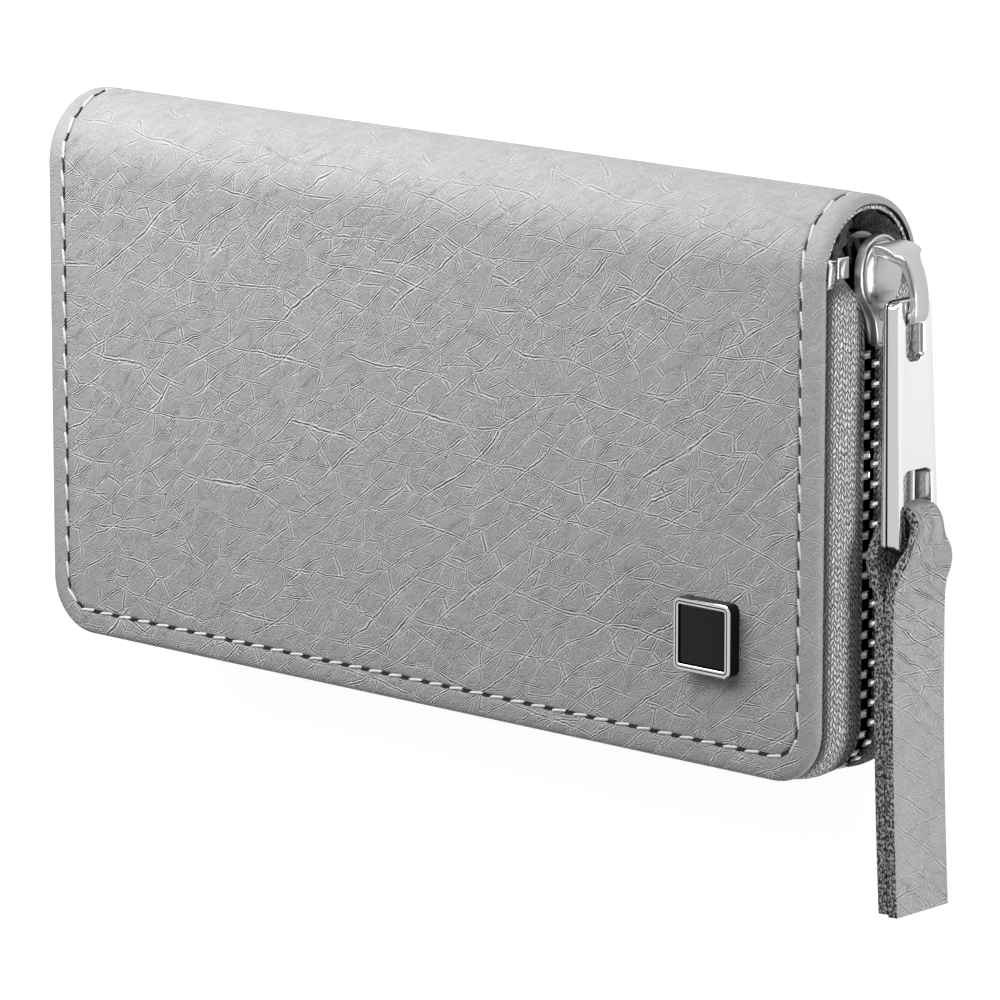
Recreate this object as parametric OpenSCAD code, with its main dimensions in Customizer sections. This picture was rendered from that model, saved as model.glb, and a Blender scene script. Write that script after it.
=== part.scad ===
// Zip-around leather case for a manicure set, lying on its back cover.
// X runs along the spine, Y from the zip edge to the spine, Z from back to front.

/* [Case] */
// Length of the case along the spine
case_w = 130; // [110:1:150]
// Height of the case, zip edge to the top of the spine
case_h = 70; // [62:1:84]
// Thickness of the closed case
case_t = 18; // [17:0.5:20]
// Radius of the two cover corners at the zip edge
corner_r = 7; // [5:0.5:12]

/* [Covers] */
// Thickness of the outer leather
leather_t = 0.9; // [0.7:0.1:1.1]
// Thickness of the stiffening board
board_t = 0.8; // [0.6:0.1:1]
// Thickness of the lining
lining_t = 0.5; // [0.4:0.1:0.6]
// Width of the leather turned over the cover's edge
turn_w = 1.4; // [1.2:0.1:1.8]

/* [Zip] */
// Thickness of the zip tape
tape_t = 0.7; // [0.6:0.1:0.8]
// Depth of the tape's outer face behind the leather edge
tape_set = 0.4; // [0.3:0.1:0.5]
// Distance between teeth of one row
pitch = 2.4; // [2.2:0.1:2.8]
// Length of one tooth along the row
tooth_l = 0.95; // [0.8:0.05:1]
// Depth of a tooth across the tape
tooth_d = 2.2; // [2:0.1:2.4]
// Height of a tooth's clamp below the middle of the zip
tooth_h = 2.3; // [2:0.1:2.6]
// Clearance between a tooth's head and the middle of the zip
tooth_gap = 0.05; // [0.04:0.01:0.1]

/* [Slider] */
// Length of the slider
slider_l = 13.2; // [12:0.2:14.4]
// Width of the slider at its widest
slider_w = 8.6; // [8.2:0.1:9.2]
// Thickness of each slider plate
plate_t = 1.1; // [0.9:0.1:1.3]
// Distance from the slider's top end to the top of the spine
slider_drop = 4.5; // [4.4:0.1:6]
// Height of the crown over the slider plate
crown_h = 6.5; // [6.3:0.1:7]
// Thickness of the crown's arch
crown_t = 1.1; // [0.9:0.1:1.2]
// Width of the crown's arch
crown_w = 2.4; // [2:0.1:2.5]

/* [Pull] */
// Length of the metal pull
pull_l = 29.5; // [27:0.5:32]
// Width of the pull at its top
pull_w = 6.4; // [6:0.1:7]
// Width of the pull at its foot
pull_foot_w = 7.6; // [7.4:0.1:8.4]
// Thickness of the pull
pull_t = 1.8; // [1.6:0.1:1.8]
// Lean of the pull away from the zip, in degrees
pull_lean = 2.2; // [0:0.2:4]
// Width of the slot that the strap goes through
slot_w = 4.9; // [4.7:0.1:5.2]
// Length of that slot
slot_l = 7.8; // [7:0.1:9]
// Thickness of one layer of the strap
strap_t = 1.3; // [1.1:0.1:1.5]
// Width of the strap
strap_w = 9.6; // [9:0.1:10.4]
// Length of the strap below the pull's foot
strap_l = 44.5; // [36:0.5:52]

/* [Badge] */
// Side of the square badge
badge_w = 8.2; // [7:0.1:10]
// Height of the badge over the leather
badge_h = 1.8; // [1.4:0.1:2.2]
// Width of the badge's frame
badge_rim = 0.8; // [0.6:0.1:1]
// Distance from the badge's middle to the case's right end
badge_x = 17.3; // [14:0.1:30]
// Distance from the badge's middle to the zip edge
badge_y = 16; // [14:0.1:30]

/* [Inside] */
// Thickness of the padded holder in each cover
holder_t = 1.2; // [1:0.1:1.4]
// Space left round each holder
holder_gap = 3; // [2:0.2:3.2]
// Thickness of the elastic loops
band_t = 0.7; // [0.6:0.1:0.8]
// Width of the elastic loops
band_w = 9; // [6:0.5:12]

/* [Tools] */
// Outer radius of a scissors ring
ring_r = 10; // [9:0.1:10.3]
// Length of the scissors from the screw to the tip
blade_l = 38; // [32:0.5:42]
// Thickness of one scissors blade
blade_t = 1.1; // [0.9:0.1:1.2]
// Length of the nail clipper
clipper_l = 57; // [50:0.5:60]
// Width of the nail clipper
clipper_w = 11.6; // [9:0.1:12]
// Length of the nail file with its handle
file_l = 94; // [80:1:104]
// Width of the nail file
file_w = 6.4; // [5:0.1:7]
// Length of the tweezers
tweezers_l = 86; // [70:1:96]
// Width of the tweezers at their joined end
tweezers_w = 7.4; // [6:0.1:8]
// Length of the cuticle pusher
pusher_l = 92; // [80:1:104]

/* [Hidden] */

edge_t = leather_t + board_t + lining_t;     // thickness of a cover
mid_z = case_t / 2;                          // plane where the two halves meet
arch_r = case_t / 2;                         // outer radius of the spine
arch_y = case_h / 2 - arch_r;                // where the covers end and the spine begins
half_w = case_w / 2;
foot_y = -case_h / 2;
chain_in = tape_set + tape_t / 2;            // middle of the tape, in from the leather edge
chain_x = half_w - chain_in;
corner_steps = 10;
strip_count = 5;
strip_a = 180 / strip_count;                 // share of the arch that one spine strip covers
strip_gap = 0.04;                            // slack between spine strips
fit = 0.1;                                   // running clearance round the teeth

tape_edge = 1.4;                             // tape edge to the middle of the zip, under the teeth
tape_top_y = arch_y + 2;                     // where both tapes end, inside the arch
stop_in = slider_w / 2 + 0.8;                // tape's end to the middle of the zip, past the slider
slider_top = case_h / 2 - slider_drop;
slider_foot = slider_top - slider_l;
run_top = slider_foot - 0.4;                 // last tooth below the parked slider
run_foot = foot_y + corner_r;                // lowest straight tooth on the slider's side
left_top = arch_y - 4;

channel = tooth_d / 2 + fit;                 // half the slider's inner depth
flange_gap = tape_t / 2 + 0.15;              // half the slot that the tape runs in
plate_x = chain_x + channel + plate_t;       // outer face of the slider
bar_w = 1.5;                                 // bars at both ends of the pull
bar_swing = norm([bar_w, pull_t]) / 2 + 0.1; // room that the top bar turns in
pull_x = plate_x + crown_h - crown_t - bar_swing;
pull_y = slider_top - 7.8;                   // axis of the pull's top bar
eye_l = 5.8;                                 // length of the pull's eye
bar_gap = pull_l - bar_w;                    // from the top bar's axis to the foot bar's
strap_x = pull_x + bar_gap * sin(pull_lean);
strap_y = pull_y - bar_gap * cos(pull_lean);
loop_r = 1.5;                                // inside radius of the strap's loop

// Points of a quarter arc, anticlockwise from angle a.
function quarter(cx, cy, r, a) =
    [for (k = [0:corner_steps]) [cx + r * cos(a + 90 * k / corner_steps),
                                 cy + r * sin(a + 90 * k / corner_steps)]];

// A cover's outline, drawn in by i, open along the spine and ending at height y.
function outline(i, y) =
    concat([[-half_w + i, y]],
           quarter(-half_w + corner_r, foot_y + corner_r, corner_r - i, 180),
           quarter(half_w - corner_r, foot_y + corner_r, corner_r - i, 270),
           [[half_w - i, y]]);

function turned(list) = [for (k = [len(list) - 1:-1:0]) list[k]];

// Place and heading on the chain's middle line, s from the left end.
chain_r = corner_r - chain_in;
chain_left = left_top - (foot_y + corner_r);
chain_arc = chain_r * PI / 2;
chain_foot = case_w - 2 * corner_r;
chain_run = run_top - run_foot;
function on_chain(s) =
    s < chain_left ? [-chain_x, left_top - s, -90]
    : s < chain_left + chain_arc ?
        let (a = 90 * (s - chain_left) / chain_arc)
        [-half_w + corner_r - chain_r * cos(a), foot_y + corner_r - chain_r * sin(a), a - 90]
    : s < chain_left + chain_arc + chain_foot ?
        [-half_w + corner_r + s - chain_left - chain_arc, foot_y + chain_in, 0]
    : s < chain_left + 2 * chain_arc + chain_foot ?
        let (a = 90 * (s - chain_left - chain_arc - chain_foot) / chain_arc)
        [half_w - corner_r + chain_r * sin(a), foot_y + corner_r - chain_r * cos(a), a]
    : [chain_x, run_foot + s - chain_left - 2 * chain_arc - chain_foot, 90];
run_start = chain_left + 2 * chain_arc + chain_foot;

floor_z = edge_t + holder_t;                 // height of a holder's face in its cover
slack = 0.25;                                // space between a tool and its loop
scissors_y = arch_y - 21.5;
clipper_y = foot_y + turn_w + holder_gap + clipper_w / 2 + 2.2;
clipper_h = 5.6;
file_y = arch_y - 9;
tweezers_y = arch_y - 21.5;
pusher_y = arch_y - 33.5;
tool_t = 2.8;                                // height of the slim tools

module cover_leather() {
    difference() {
        linear_extrude(edge_t) polygon(outline(0, arch_y));
        translate([0, 0, leather_t]) linear_extrude(edge_t) polygon(outline(turn_w, arch_y + 1));
    }
}

module cover_layer(z, t) {
    translate([0, 0, z]) linear_extrude(t) polygon(outline(turn_w, arch_y));
}

// One half of the gusset: a wall of tape that stands on the turned leather edge.
module tape_wall() {
    difference() {
        translate([0, 0, edge_t]) linear_extrude(mid_z - tape_edge - 0.04 - edge_t)
            polygon(concat(outline(tape_set, tape_top_y), turned(outline(tape_set + tape_t, tape_top_y))));
        for (side = [-1, 1]) translate([side * half_w, 0, 0]) rotate([90, 0, 90])
            linear_extrude(3, center = true)
                polygon([[side > 0 ? slider_foot : left_top, mid_z], [tape_top_y + 1, mid_z],
                         [tape_top_y + 1, mid_z - stop_in], [tape_top_y - 2.4, mid_z - stop_in],
                         [side > 0 ? slider_foot + 6 : left_top + 2, mid_z - 2.6]]);
    }
}

// One tooth, heading along X, clamped over the tape's edge with its head at the middle.
module tooth() {
    t = tape_t / 2 + 0.04;
    d = tooth_d / 2;
    rotate([90, 0, 90]) linear_extrude(tooth_l, center = true)
        polygon([[-d, -tooth_h], [-t, -tooth_h], [-t, -tape_edge], [t, -tape_edge], [t, -tooth_h],
                 [d, -tooth_h], [d, -tooth_gap - 0.3], [d - 0.3, -tooth_gap], [-d + 0.3, -tooth_gap],
                 [-d, -tooth_gap - 0.3]]);
}

// A row of teeth between two distances along the chain, moved on by shift.
module tooth_row(from, to, shift) {
    first = ceil((from - shift) / pitch);
    last = floor((to - shift) / pitch);
    for (k = [first:last])
        let (p = on_chain(shift + k * pitch))
            translate([p[0], p[1], mid_z]) rotate([0, 0, p[2]]) tooth();
}

// A metal clip over the end of a tape, beside the slider's mouth.
module stop_clip() {
    z = mid_z - stop_in;
    difference() {
        translate([chain_x - tooth_d / 2, tape_top_y - 2.2, z - 1.5]) cube([tooth_d, 2.6, 2.1]);
        translate([chain_x - tape_t / 2 - 0.04, tape_top_y - 3, z - 2]) cube([tape_t + 0.08, 5, 2.04]);
    }
}

module to_front() {
    translate([0, 0, case_t]) mirror([0, 0, 1]) children();
}

// A strip of the arch between two radii.
module spine_strip(k, r_in, r_out) {
    slack = strip_gap / arch_r * 90 / PI;
    a = [for (j = [0:3]) -90 + (k - 1) * strip_a + slack + j * (strip_a - 2 * slack) / 3];
    rotate([90, 0, 90]) linear_extrude(case_w, center = true)
        polygon(concat([for (v = a) [arch_y + r_out * cos(v), mid_z + r_out * sin(v)]],
                       [for (v = turned(a)) [arch_y + r_in * cos(v), mid_z + r_in * sin(v)]]));
}

// Outline of the slider's plates, scaled in width by f and shortened by e at both ends.
module slider_outline(f, e) {
    w = slider_w / 2 * f;
    polygon([[slider_foot + e, -w * 0.72], [slider_foot + 0.8 + e, -w * 0.8], [slider_foot + 5, -w * 0.84],
             [slider_foot + 8.6, -w], [slider_top - 1.8 - e, -w], [slider_top - e, -w * 0.55],
             [slider_top - e, w * 0.55], [slider_top - 1.8 - e, w], [slider_foot + 8.6, w],
             [slider_foot + 5, w * 0.84], [slider_foot + 0.8 + e, w * 0.8], [slider_foot + e, w * 0.72]]);
}

module along_x(x, t) {
    translate([x, 0, mid_z]) rotate([90, 0, 90]) linear_extrude(t) children();
}

module back_leather() { color("darkgray") cover_leather(); }
module back_board() { color("tan") cover_layer(leather_t, board_t); }
module back_lining() { color("dimgray") cover_layer(leather_t + board_t, lining_t); }
module back_tape() { color("dimgray") tape_wall(); }
module back_teeth() { color("silver") tooth_row(0, run_start - 0.8, 0.6); }
module back_run_teeth() { color("silver") tooth_row(run_start - 0.8, run_start + chain_run - 0.6, 0.6); }
module back_stop() { color("silver") stop_clip(); }

module front_leather() {
    color("darkgray") difference() {
        to_front() cover_leather();
        badge_pins(0.05, 1);
    }
}
module front_board() {
    color("tan") difference() {
        to_front() cover_layer(leather_t, board_t);
        badge_pins(0.05, 1);
    }
}
module front_lining() { color("dimgray") to_front() cover_layer(leather_t + board_t, lining_t); }
module front_tape() { color("dimgray") to_front() tape_wall(); }
module front_teeth() { color("silver") to_front() tooth_row(0, run_start - 0.8, 0.6 + pitch / 2); }
module front_run_teeth() {
    color("silver") to_front() tooth_row(run_start - 0.8, run_start + chain_run - 0.6, 0.6 + pitch / 2);
}
module front_stop() { color("silver") to_front() stop_clip(); }

// The badge's two rivets, which end behind the board.
module badge_pins(slack, deep) {
    for (side = [-1, 1])
        translate([half_w - badge_x + side * badge_w / 4, foot_y + badge_y, case_t - leather_t - board_t - deep])
            cylinder(h = leather_t + board_t + deep + (deep > 0 ? 1 : 0), r = 0.5 + slack, $fn = 32);
}

module badge_frame() {
    color("silver") {
        translate([half_w - badge_x, foot_y + badge_y, case_t]) difference() {
            linear_extrude(badge_h) badge_outline(badge_w, 1);
            translate([0, 0, badge_h * 0.5]) linear_extrude(badge_h) badge_outline(badge_w - 2 * badge_rim, 0.6);
        }
        badge_pins(0, 0);
    }
}

module badge_inlay() {
    color("black") translate([half_w - badge_x, foot_y + badge_y, case_t + badge_h * 0.5])
        linear_extrude(badge_h * 0.5 - 0.2) badge_outline(badge_w - 2 * badge_rim, 0.6);
}

// A square with cut corners.
module badge_outline(w, c) {
    h = w / 2;
    polygon([[h - c, -h], [h - c * 0.3, -h + c * 0.3], [h, -h + c], [h, h - c], [h - c * 0.3, h - c * 0.3],
             [h - c, h], [-h + c, h], [-h + c * 0.3, h - c * 0.3], [-h, h - c], [-h, -h + c],
             [-h + c * 0.3, -h + c * 0.3], [-h + c, -h]]);
}

module spine_leather(k) { color("darkgray") spine_strip(k, arch_r - leather_t, arch_r); }
module spine_lining(k) { color("dimgray") spine_strip(k, arch_r - leather_t - lining_t, arch_r - leather_t); }

module slider_body() {
    color("silver") {
        along_x(plate_x - plate_t, plate_t) slider_outline(1, 0);
        along_x(chain_x - channel - plate_t, plate_t) slider_outline(1, 0);
        along_x(chain_x + flange_gap, channel - flange_gap) slider_flanges();
        along_x(chain_x - channel, channel - flange_gap) slider_flanges();
        along_x(chain_x - channel, 2 * channel)
            polygon([[slider_top - 5.4, 0], [slider_top - 3.4, -1.05], [slider_top - 0.4, -1.2],
                     [slider_top - 0.4, 1.2], [slider_top - 3.4, 1.05]]);
        along_x(plate_x, 0.7) slider_outline(0.66, 1.4);
    }
}

// Both turned-in edges of a plate, which end below the slider's mouth.
module slider_flanges() {
    gap = tooth_h + 0.15;
    difference() {
        slider_outline(1, 0);
        polygon([[slider_foot - 1, -gap], [slider_foot + 4.6, -gap], [slider_foot + 7.2, -slider_w / 2 - 1],
                 [slider_top + 1, -slider_w / 2 - 1], [slider_top + 1, slider_w / 2 + 1],
                 [slider_foot + 7.2, slider_w / 2 + 1], [slider_foot + 4.6, gap], [slider_foot - 1, gap]]);
    }
}

// The arch over the slider that the pull hangs from, drawn in X and Y.
module slider_crown() {
    x = plate_x + 0.7;
    h = crown_h - 0.7;
    low = pull_y - bar_swing;
    color("silver") translate([0, 0, mid_z]) linear_extrude(crown_w, center = true) difference() {
        polygon([[x, slider_top - 0.8], [x + h * 0.36, slider_top - 0.9], [x + h * 0.62, slider_top - 1.6],
                 [x + h * 0.86, slider_top - 3.6], [x + h, slider_top - 6.2], [x + h, low + 0.6],
                 [x + h * 0.9, low - crown_t * 0.6], [x + h * 0.7, low - crown_t], [x, low - crown_t - 0.2]]);
        polygon([[x - 1, slider_top - 2.8], [x + h * 0.36, slider_top - 2.4],
                 [x + h * 0.62 - 0.4, slider_top - 3.1], [x + h - crown_t - 0.5, slider_top - 4.8],
                 [x + h - crown_t, slider_top - 6.2], [x + h - crown_t, low + 0.7],
                 [x + h - crown_t - 0.6, low], [x - 1, low - 0.2]]);
    }
}

module zip_pull() {
    top = bar_w / 2;
    foot = top - pull_l;
    color("silver") translate([pull_x, pull_y, mid_z]) rotate([0, 0, pull_lean]) rotate([90, 0, 90])
        linear_extrude(pull_t, center = true) difference() {
            polygon([[top - 1, -pull_w / 2], [top, -pull_w / 2 + 1], [top, pull_w / 2 - 1],
                     [top - 1, pull_w / 2], [foot + 0.8, pull_foot_w / 2], [foot, pull_foot_w / 2 - 0.8],
                     [foot, -pull_foot_w / 2 + 0.8], [foot + 0.8, -pull_foot_w / 2]]);
            translate([top - bar_w - eye_l, -crown_w / 2 - 0.35]) square([eye_l, crown_w + 0.7]);
            translate([foot + bar_w, -slot_w / 2]) square([slot_l, slot_w]);
        }
}

// One strip of leather through the slot, round the pull's foot and doubled below it.
module pull_strap() {
    out = loop_r + strap_t;
    end = strap_y - strap_l;
    color("gray") intersection() {
        translate([strap_x, strap_y, 0]) linear_extrude(case_t) difference() {
            union() {
                polygon(concat([for (a = [0:15:180]) [out * cos(a), out * sin(a)]],
                               [[-out, -1], [-strap_t, -6], [-strap_t, -strap_l], [strap_t, -strap_l],
                                [strap_t, -6], [out, -1]]));
            }
            polygon(concat([for (a = [0:15:180]) [loop_r * cos(a), loop_r * sin(a)]],
                           [[-loop_r, -1], [0, -4.6], [loop_r, -1]]));
        }
        along_x(strap_x - 10, 20)
            polygon([[strap_y + 5, -slot_w / 2 + 0.2], [strap_y - 0.3, -slot_w / 2 + 0.2],
                     [strap_y - 3.2, -strap_w / 2], [end - 1, -strap_w / 2], [end - 1, strap_w / 2],
                     [strap_y - 3.2, strap_w / 2], [strap_y - 0.3, slot_w / 2 - 0.2],
                     [strap_y + 5, slot_w / 2 - 0.2]]);
    }
}

// The padded panel that the tools lie on.
module holder() {
    translate([0, 0, edge_t]) linear_extrude(holder_t)
        polygon(outline(turn_w + holder_gap, arch_y - holder_gap));
}

// Outline of the elastic over tools, each given as [place, half width, height].
module band_outline(tools, grow) {
    for (t = tools) {
        w = t[1] + slack + grow;
        h = floor_z + t[2] + slack + grow;
        polygon([[t[0] - w - 0.9, floor_z - (grow > 0 ? 0 : 1)], [t[0] - w, h - 0.5], [t[0] - w + 0.6, h],
                 [t[0] + w - 0.6, h], [t[0] + w, h - 0.5], [t[0] + w + 0.9, floor_z - (grow > 0 ? 0 : 1)]]);
    }
}

// One elastic at x, sewn down on the holder between the tools.
module band(x, from, to, tools) {
    translate([x, 0, 0]) rotate([90, 0, 90]) linear_extrude(band_w, center = true) difference() {
        union() {
            translate([from, floor_z]) square([to - from, band_t]);
            band_outline(tools, band_t);
        }
        band_outline(tools, 0);
    }
}

module back_holder() { color("dimgray") holder(); }
module front_holder() { color("dimgray") to_front() holder(); }
module back_bands() {
    low = clipper_y - clipper_w / 2 - 1.8;
    high = arch_y - holder_gap - 1;
    color("black") {
        band(-12, low, high, [[clipper_y, clipper_w / 2, clipper_h], [scissors_y, 9.4, 2 * blade_t]]);
        band(32, scissors_y - 12, high, [[scissors_y, 3.2, 2 * blade_t]]);
    }
}
module front_bands() {
    low = pusher_y - 7;
    high = arch_y - holder_gap - 1;
    color("black") to_front() for (x = [-22, 20])
        band(x, low, high, [[file_y, file_w / 2 + 0.3, tool_t], [tweezers_y, tweezers_w / 2, tool_t],
                            [pusher_y, 1.8, tool_t]]);
}

// One half of the scissors, from its ring to its tip, at the lower or upper level.
module scissors_half(level) {
    side = level > 0 ? -1 : 1;
    translate([10, scissors_y, floor_z]) difference() {
        union() {
            translate([0, 0, level * blade_t]) linear_extrude(blade_t)
                polygon([[-16, 1.7 * side], [-5, -3.4 * side], [5, -3.4 * side], [blade_l, 0.4 * side],
                         [blade_l, side], [12, 3 * side], [-4, 3.6 * side], [-16, 5.8 * side]]);
            linear_extrude(2 * blade_t)
                polygon([[-15, 2.1 * side], [-34, 3.2 * side], [-36, 10 * side], [-30, 9.6 * side],
                         [-15, 5.5 * side]]);
            translate([-40, 10.5 * side, 0]) cylinder(h = 2 * blade_t, r = ring_r, $fn = 64);
        }
        translate([-40, 10.5 * side, -1]) cylinder(h = 2 * blade_t + 2, r = ring_r - 2.6, $fn = 64);
        translate([0, 0, -1]) cylinder(h = 4 * blade_t + 2, r = 1.25, $fn = 32);
    }
}

module scissors_under() { color("silver") scissors_half(0); }
module scissors_over() { color("silver") scissors_half(1); }
module scissors_screw() {
    color("silver") translate([10, scissors_y, floor_z]) {
        cylinder(h = 2 * blade_t + 0.1, r = 1.2, $fn = 32);
        translate([0, 0, 2 * blade_t]) difference() {
            cylinder(h = 0.7, r = 2.4, $fn = 48);
            translate([-3, -0.3, 0.4]) cube([6, 0.6, 1]);
        }
    }
}

// Draws a side view in X and Z and gives it width w.
module side_cut(y, w) {
    translate([0, y + w / 2, floor_z]) rotate([90, 0, 0]) linear_extrude(w) children();
}

module clipper_jaws() {
    l = clipper_l;
    color("silver") translate([-l / 2 - 12, 0, 0]) difference() {
        side_cut(clipper_y, clipper_w) difference() {
            polygon([[0, 0], [l - 6, 0], [l, 1.7], [l, 2.5], [l - 6, 3.4], [9, 2.5], [0, 2.5]]);
            polygon([[7, 1], [l - 6.3, 1], [l - 1.4, 2], [l - 1.4, 2.2], [l - 6, 2.5], [7, 1.4]]);
        }
        translate([l - 9, clipper_y, 0]) cylinder(h = 20, r = 1.7, $fn = 32);
    }
}
module clipper_lever() {
    l = clipper_l;
    color("silver") translate([-l / 2 - 12, 0, 0]) difference() {
        side_cut(clipper_y, clipper_w - 2)
            polygon([[2, 4.4], [2, 5.2], [l - 12, 4.8], [l - 5, 4.8], [l - 5, 3.8], [l - 13, 3.8]]);
        translate([l - 9, clipper_y, 0]) cylinder(h = 20, r = 1.7, $fn = 32);
    }
}
module clipper_pin() {
    color("silver") translate([clipper_l / 2 - 21, clipper_y, floor_z]) {
        cylinder(h = clipper_h - 0.6, r = 1.6, $fn = 32);
        translate([0, 0, clipper_h - 0.8]) cylinder(h = 0.8, r = 2.3, $fn = 48);
    }
}

module file_blade() {
    w = file_w / 2;
    color("silver") to_front() translate([0, file_y, floor_z + 0.9]) linear_extrude(0.9)
        polygon([[-file_l / 2 + 20, -w + 1], [-file_l / 2 + 36, -w], [file_l / 2 - 14, -w], [file_l / 2, -0.5],
                 [file_l / 2, 0.5], [file_l / 2 - 14, w], [-file_l / 2 + 36, w], [-file_l / 2 + 20, w - 1]]);
}
module file_handle() {
    w = file_w / 2;
    color("black") to_front() difference() {
        translate([0, file_y, floor_z]) linear_extrude(tool_t)
            polygon([[-file_l / 2, -w + 1.5], [-file_l / 2 + 1.5, -w], [-file_l / 2 + 34, -w - 0.3],
                     [-file_l / 2 + 34, w + 0.3], [-file_l / 2 + 1.5, w], [-file_l / 2, w - 1.5]]);
        translate([0, file_y, floor_z + 0.9]) linear_extrude(0.9)
            polygon([[-file_l / 2 + 20, -w + 1], [-file_l / 2 + 36, -w], [-file_l / 2 + 36, w],
                     [-file_l / 2 + 20, w - 1]]);
    }
}
module tweezers() {
    l = tweezers_l;
    w = tweezers_w / 2;
    color("silver") to_front() intersection() {
        side_cut(tweezers_y, tweezers_w) difference() {
            polygon([[-l / 2, 0.7], [-l / 2 + 10, 0.4], [-l / 2 + 30, 0], [l / 2, 0], [l / 2, tool_t],
                     [-l / 2 + 30, tool_t], [-l / 2 + 10, tool_t - 0.4], [-l / 2, tool_t - 0.7]]);
            polygon([[-l / 2 + 9, tool_t / 2], [-l / 2 + 30, 0.7], [l / 2 - 6, 0.7], [l / 2 + 1, 1],
                     [l / 2 + 1, tool_t - 1], [l / 2 - 6, tool_t - 0.7], [-l / 2 + 30, tool_t - 0.7]]);
        }
        translate([0, tweezers_y, 0]) linear_extrude(case_t)
            polygon([[-l / 2, -w + 1], [-l / 2 + 8, -w], [0, -w], [l / 2, -1.4], [l / 2, 0.2], [0, w],
                     [-l / 2 + 8, w], [-l / 2, w - 1]]);
    }
}
module pusher() {
    l = pusher_l;
    color("silver") to_front() translate([0, pusher_y, floor_z + tool_t / 2]) {
        translate([-l / 2 + 14, 0, 0]) rotate([0, 90, 0]) cylinder(h = l - 28, r = tool_t / 2, $fn = 8);
        translate([0, 0, -0.5]) linear_extrude(1) {
            polygon([[-l / 2, -2], [-l / 2 + 4, -3], [-l / 2 + 10, -2], [-l / 2 + 15, -0.8], [-l / 2 + 15, 0.8],
                     [-l / 2 + 10, 2], [-l / 2 + 4, 3], [-l / 2, 2]]);
            polygon([[l / 2, -0.4], [l / 2 - 8, -1.8], [l / 2 - 15, -0.8], [l / 2 - 15, 0.8], [l / 2 - 8, 1.8],
                     [l / 2, 0.4]]);
        }
    }
}

back_leather();
back_board();
back_lining();
back_tape();
back_teeth();
back_run_teeth();
back_stop();
front_leather();
front_board();
front_lining();
front_tape();
front_teeth();
front_run_teeth();
front_stop();
badge_frame();
badge_inlay();
spine_leather(1);  // spine_leather_1
spine_leather(2);  // spine_leather_2
spine_leather(3);  // spine_leather_3
spine_leather(4);  // spine_leather_4
spine_leather(5);  // spine_leather_5
spine_lining(1);  // spine_lining_1
spine_lining(2);  // spine_lining_2
spine_lining(3);  // spine_lining_3
spine_lining(4);  // spine_lining_4
spine_lining(5);  // spine_lining_5
slider_body();
slider_crown();
zip_pull();
pull_strap();
back_holder();
back_bands();
front_holder();
front_bands();
scissors_under();
scissors_over();
scissors_screw();
clipper_jaws();
clipper_lever();
clipper_pin();
file_blade();
file_handle();
tweezers();
pusher();
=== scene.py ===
import math
import random

import bmesh
import bpy
from mathutils import Matrix, Vector


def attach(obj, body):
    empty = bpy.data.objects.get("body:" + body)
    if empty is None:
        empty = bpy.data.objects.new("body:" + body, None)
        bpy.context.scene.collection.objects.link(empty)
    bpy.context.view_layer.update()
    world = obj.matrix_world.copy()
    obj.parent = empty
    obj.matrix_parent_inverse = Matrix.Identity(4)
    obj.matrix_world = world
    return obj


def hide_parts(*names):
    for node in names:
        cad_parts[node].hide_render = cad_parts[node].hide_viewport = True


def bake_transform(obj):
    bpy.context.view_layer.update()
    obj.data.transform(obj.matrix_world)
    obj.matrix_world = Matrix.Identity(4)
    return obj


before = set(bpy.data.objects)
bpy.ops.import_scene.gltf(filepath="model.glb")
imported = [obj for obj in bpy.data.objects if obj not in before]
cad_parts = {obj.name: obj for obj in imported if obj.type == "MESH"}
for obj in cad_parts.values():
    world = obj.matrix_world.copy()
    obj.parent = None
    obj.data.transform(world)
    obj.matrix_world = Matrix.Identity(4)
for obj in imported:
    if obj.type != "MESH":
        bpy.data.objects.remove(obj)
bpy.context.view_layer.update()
random.seed(7)

# Everything is modelled in millimetres and brought to metres when a piece is finished.
mm = 0.001
case = {"length": 130.0, "height": 70.0, "thickness": 18.0, "corner": 7.0}
halfLength = case["length"] / 2
footY = -case["height"] / 2
middle = case["thickness"] / 2
archRadius = case["thickness"] / 2
archY = case["height"] / 2 - archRadius
cornerX = halfLength - case["corner"]
cornerY = footY + case["corner"]


# hand tools: each does one step of the modelling
def only(obj):
    if bpy.context.object and bpy.context.object.mode != "OBJECT":
        bpy.ops.object.mode_set(mode="OBJECT")
    bpy.ops.object.select_all(action="DESELECT")
    obj.select_set(True)
    bpy.context.view_layer.objects.active = obj


def startEdit(obj, kind="FACE"):
    only(obj)
    bpy.ops.object.mode_set(mode="EDIT")
    bpy.ops.mesh.select_mode(type=kind)
    bpy.ops.mesh.select_all(action="DESELECT")


def endEdit():
    bpy.ops.object.mode_set(mode="OBJECT")


def extrudeBy(step):
    bpy.ops.mesh.extrude_region_move(TRANSFORM_OT_translate={"value": step})


def insetSteps(steps):  # one ring after another, each so far in and so far up
    for reach, rise in steps:
        bpy.ops.mesh.inset(thickness=reach, depth=rise)


def mergeDoubles():
    bpy.ops.mesh.select_all(action="SELECT")
    bpy.ops.mesh.remove_doubles(threshold=0.0005)


def faceOutwards():
    bpy.ops.mesh.select_all(action="SELECT")
    bpy.ops.mesh.normals_make_consistent(inside=False)


def turnFaces(obj):
    startEdit(obj)
    bpy.ops.mesh.select_all(action="SELECT")
    bpy.ops.mesh.flip_normals()
    endEdit()


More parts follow.
